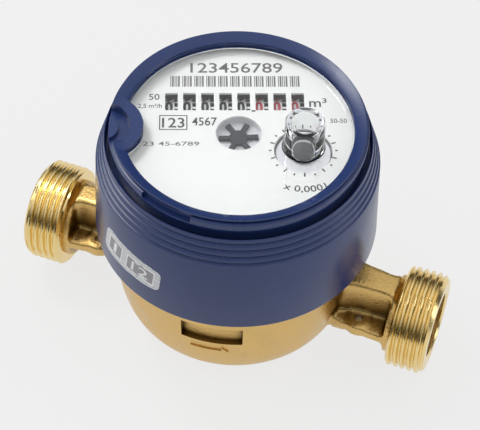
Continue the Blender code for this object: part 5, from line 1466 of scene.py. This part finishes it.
def dress_inner():
    """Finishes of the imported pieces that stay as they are."""
    c = colours()
    looks = {
        "clamp_ring": cast_brass(),
        "chamber_o_ring": seal_rubber(), "lens_gasket": seal_rubber(),
        "impeller_magnet": ferrite(), "follower_magnet": ferrite(),
        "movement_plate": plain_plastic("recess_plastic", c.recess),
        "transfer_arbor": plain_plastic("natural_plastic", c.natural),
    }
    looks.update(dict.fromkeys(
        ("bottom_pivot", "drum_axle", "carry_axle", "centre_arbor", "worm_arbor"), turned_steel()))
    looks.update(dict.fromkeys(
        ("inlet_strainer", "pressure_plate", "register_cup", "pointer_arbor"), looks["transfer_arbor"]))
    looks.update(dict.fromkeys(("drum_cradle", "impeller", "worm_wheel"), roller_white()))
    looks.update({f"carry_pinion_{number}": looks["transfer_arbor"] for number in range(1, DRUM_COUNT)})
    for name, look in looks.items():
        paint(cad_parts[name].data, look)


def floor_material():
    """Pale floor: cameras, gloss and glass see mostly an even tone, and the rest of it takes shadows."""
    made, tree, shader = start_material("studio_floor")[:3]
    shader.inputs["Base Color"].default_value = (*colours().floor, 1.0)
    shader.inputs["Roughness"].default_value = FLOOR_ROUGHNESS
    rays = node(tree, "ShaderNodeLightPath")
    direct = maths(tree, "ADD", rays.outputs["Is Camera Ray"], rays.outputs["Is Glossy Ray"])
    seen = maths(tree, "ADD", direct, rays.outputs["Is Transmission Ray"], clamp=True)
    glow = node(tree, "ShaderNodeEmission", {"Color": (*colours().floor, 1.0), "Strength": 1.0})
    blend = node(tree, "ShaderNodeMixShader")
    tree.links.new(maths(tree, "MULTIPLY", seen, FLOOR_GLOW), blend.inputs["Fac"])
    tree.links.new(shader.outputs["BSDF"], blend.inputs[1])
    tree.links.new(glow.outputs["Emission"], blend.inputs[2])
    tree.links.new(blend.outputs["Shader"], tree.nodes["Material Output"].inputs["Surface"])
    return made


def build_world():
    """Sky that brightens from the horizon upwards, so that metal shows a dark band between it and the
    floor. Camera rays see the floor's tone."""
    world = bpy.data.worlds.new("studio_world")
    bpy.context.scene.world = world
    world.use_nodes = True
    tree = world.node_tree
    sky = tree.nodes["Background"]
    sky.inputs["Color"].default_value = (1.0, 1.0, 1.0, 1.0)
    direction = node(tree, "ShaderNodeSeparateXYZ")
    tree.links.new(node(tree, "ShaderNodeTexCoord").outputs["Generated"], direction.inputs["Vector"])
    height = node(tree, "ShaderNodeMapRange", {"From Min": SKY_RISE[0], "From Max": SKY_RISE[1],
                                               "To Min": SKY_LOW, "To Max": SKY_HIGH},
                  interpolation_type="SMOOTHSTEP")
    tree.links.new(direction.outputs["Z"], height.inputs["Value"])
    seen = node(tree, "ShaderNodeMix", {"B": SKY_SEEN}, data_type="FLOAT")
    tree.links.new(node(tree, "ShaderNodeLightPath").outputs["Is Camera Ray"], seen.inputs["Factor"])
    tree.links.new(height.outputs["Result"], seen.inputs["A"])
    tree.links.new(seen.outputs["Result"], sky.inputs["Strength"])


def build_lamp(name, place, aim, size, power):
    """A rectangular soft lamp that faces the given point."""
    lamp = bpy.data.lights.new(name, "AREA")
    lamp.shape = "RECTANGLE"
    lamp.size, lamp.size_y = size
    lamp.energy = power
    holder = bpy.data.objects.new(name, lamp)
    holder.location = place
    holder.rotation_euler = (Vector(aim) - Vector(place)).to_track_quat("-Z", "Y").to_euler()
    bpy.context.scene.collection.objects.link(holder)


def build_camera():
    """Camera where the photograph was taken from, rolled a little about its own axis."""
    forward = (Vector(CAMERA_TARGET) - Vector(CAMERA_PLACE)).normalized()
    right = forward.cross(Vector((0.0, 0.0, 1.0))).normalized()
    up = right.cross(forward)
    turn = Matrix.Rotation(CAMERA_ROLL, 3, -forward)
    right, up = turn @ right, turn @ up
    camera = bpy.data.cameras.new("photo_camera")
    camera.lens = CAMERA_LENS
    camera.sensor_width = CAMERA_SENSOR
    camera.sensor_fit = "HORIZONTAL"
    camera.clip_start, camera.clip_end = CAMERA_CLIP
    holder = bpy.data.objects.new("photo_camera", camera)
    axes = Matrix((right, up, -forward)).transposed().to_4x4()
    holder.matrix_world = Matrix.Translation(CAMERA_PLACE) @ axes
    bpy.context.scene.collection.objects.link(holder)
    bpy.context.scene.camera = holder


def build_stage():
    """Floor, sky, lamps and camera."""
    half = FLOOR_HALF_WIDTH
    corners = [(-half, -half, 0.0), (half, -half, 0.0), (half, half, 0.0), (-half, half, 0.0)]
    floor = new_object("studio_floor", corners, [(0, 1, 2, 3)], floor_material())
    build_world()
    for lamp in LAMPS:
        build_lamp(*lamp)
    build_camera()
    bpy.context.scene.view_settings.view_transform = "Standard"


class METER_OT_casting(bpy.types.Operator):
    """Build the cast brass body with its flow arrow"""
    bl_idname = "meter.casting"
    bl_label = "Body casting"
    bl_options = {"REGISTER", "UNDO"}

    def execute(self, context):
        build_casting()
        build_arrow()
        return {"FINISHED"}


class METER_OT_threads(bpy.types.Operator):
    """Build the two threaded ends"""
    bl_idname = "meter.threads"
    bl_label = "Threaded ends"
    bl_options = {"REGISTER", "UNDO"}

    def execute(self, context):
        build_threads()
        return {"FINISHED"}


class METER_OT_casing(bpy.types.Operator):
    """Build the blue casing of the head"""
    bl_idname = "meter.casing"
    bl_label = "Head casing"
    bl_options = {"REGISTER", "UNDO"}

    def execute(self, context):
        build_casing()
        return {"FINISHED"}


class METER_OT_ring(bpy.types.Operator):
    """Build the ring over the lens with its hinge pocket"""
    bl_idname = "meter.ring"
    bl_label = "Head ring"
    bl_options = {"REGISTER", "UNDO"}

    def execute(self, context):
        build_ring()
        return {"FINISHED"}


class METER_OT_lens(bpy.types.Operator):
    """Build the clear lens with its sensor tube"""
    bl_idname = "meter.lens"
    bl_label = "Lens"
    bl_options = {"REGISTER", "UNDO"}

    def execute(self, context):
        build_lens()
        return {"FINISHED"}


class METER_OT_dial(bpy.types.Operator):
    """Build the dial plate and its print"""
    bl_idname = "meter.dial"
    bl_label = "Dial and print"
    bl_options = {"REGISTER", "UNDO"}

    def execute(self, context):
        build_dial()
        build_print()
        return {"FINISHED"}


class METER_OT_rollers(bpy.types.Operator):
    """Build the eight number rollers"""
    bl_idname = "meter.rollers"
    bl_label = "Number rollers"
    bl_options = {"REGISTER", "UNDO"}

    def execute(self, context):
        build_rollers()
        return {"FINISHED"}


class METER_OT_star(bpy.types.Operator):
    """Build the leak star and the pointer with its magnet"""
    bl_idname = "meter.star"
    bl_label = "Star and pointer"
    bl_options = {"REGISTER", "UNDO"}

    def execute(self, context):
        build_star()
        build_pointer()
        return {"FINISHED"}


class METER_OT_label(bpy.types.Operator):
    """Build the seal label on the skirt"""
    bl_idname = "meter.label"
    bl_label = "Seal label"
    bl_options = {"REGISTER", "UNDO"}

    def execute(self, context):
        build_label()
        return {"FINISHED"}


class METER_OT_inner(bpy.types.Operator):
    """Give the inner pieces their finishes"""
    bl_idname = "meter.inner"
    bl_label = "Inner pieces"
    bl_options = {"REGISTER", "UNDO"}

    def execute(self, context):
        dress_inner()
        return {"FINISHED"}


class METER_OT_stage(bpy.types.Operator):
    """Set up the floor, sky, lamps and camera"""
    bl_idname = "meter.stage"
    bl_label = "Studio"
    bl_options = {"REGISTER", "UNDO"}

    def execute(self, context):
        build_stage()
        return {"FINISHED"}


OPERATORS = (METER_OT_casting, METER_OT_threads, METER_OT_casing, METER_OT_ring, METER_OT_lens,
             METER_OT_dial, METER_OT_rollers, METER_OT_star, METER_OT_label, METER_OT_inner,
             METER_OT_stage)


class METER_PT_panel(bpy.types.Panel):
    """Sizes, colours and build steps of the water meter"""
    bl_idname = "METER_PT_panel"
    bl_label = "Water meter"
    bl_space_type = "VIEW_3D"
    bl_region_type = "UI"
    bl_category = "Water meter"

    def draw(self, context):
        for group in (context.scene.meter_sizes, context.scene.meter_colours):
            column = self.layout.column(align=True)
            for name in group.__annotations__:
                column.prop(group, name)
        for operator in OPERATORS:
            self.layout.operator(operator.bl_idname)


CLASSES = (MeterSizes, MeterColours) + OPERATORS + (METER_PT_panel,)


def register():
    """Register every class and hang the two property groups on the scene."""
    for item in CLASSES:
        bpy.utils.register_class(item)
    bpy.types.Scene.meter_sizes = bpy.props.PointerProperty(type=MeterSizes)
    bpy.types.Scene.meter_colours = bpy.props.PointerProperty(type=MeterColours)


def unregister():
    """Take back what register did, in the opposite order."""
    del bpy.types.Scene.meter_colours
    del bpy.types.Scene.meter_sizes
    for item in reversed(CLASSES):
        bpy.utils.unregister_class(item)


def main():
    """Register the add-on and build every piece."""
    register()
    bpy.ops.meter.casting()
    bpy.ops.meter.threads()
    bpy.ops.meter.casing()
    bpy.ops.meter.ring()
    bpy.ops.meter.lens()
    bpy.ops.meter.dial()
    bpy.ops.meter.rollers()
    bpy.ops.meter.star()
    bpy.ops.meter.label()
    bpy.ops.meter.inner()
    bpy.ops.meter.stage()


if __name__ == "__main__":
    main()
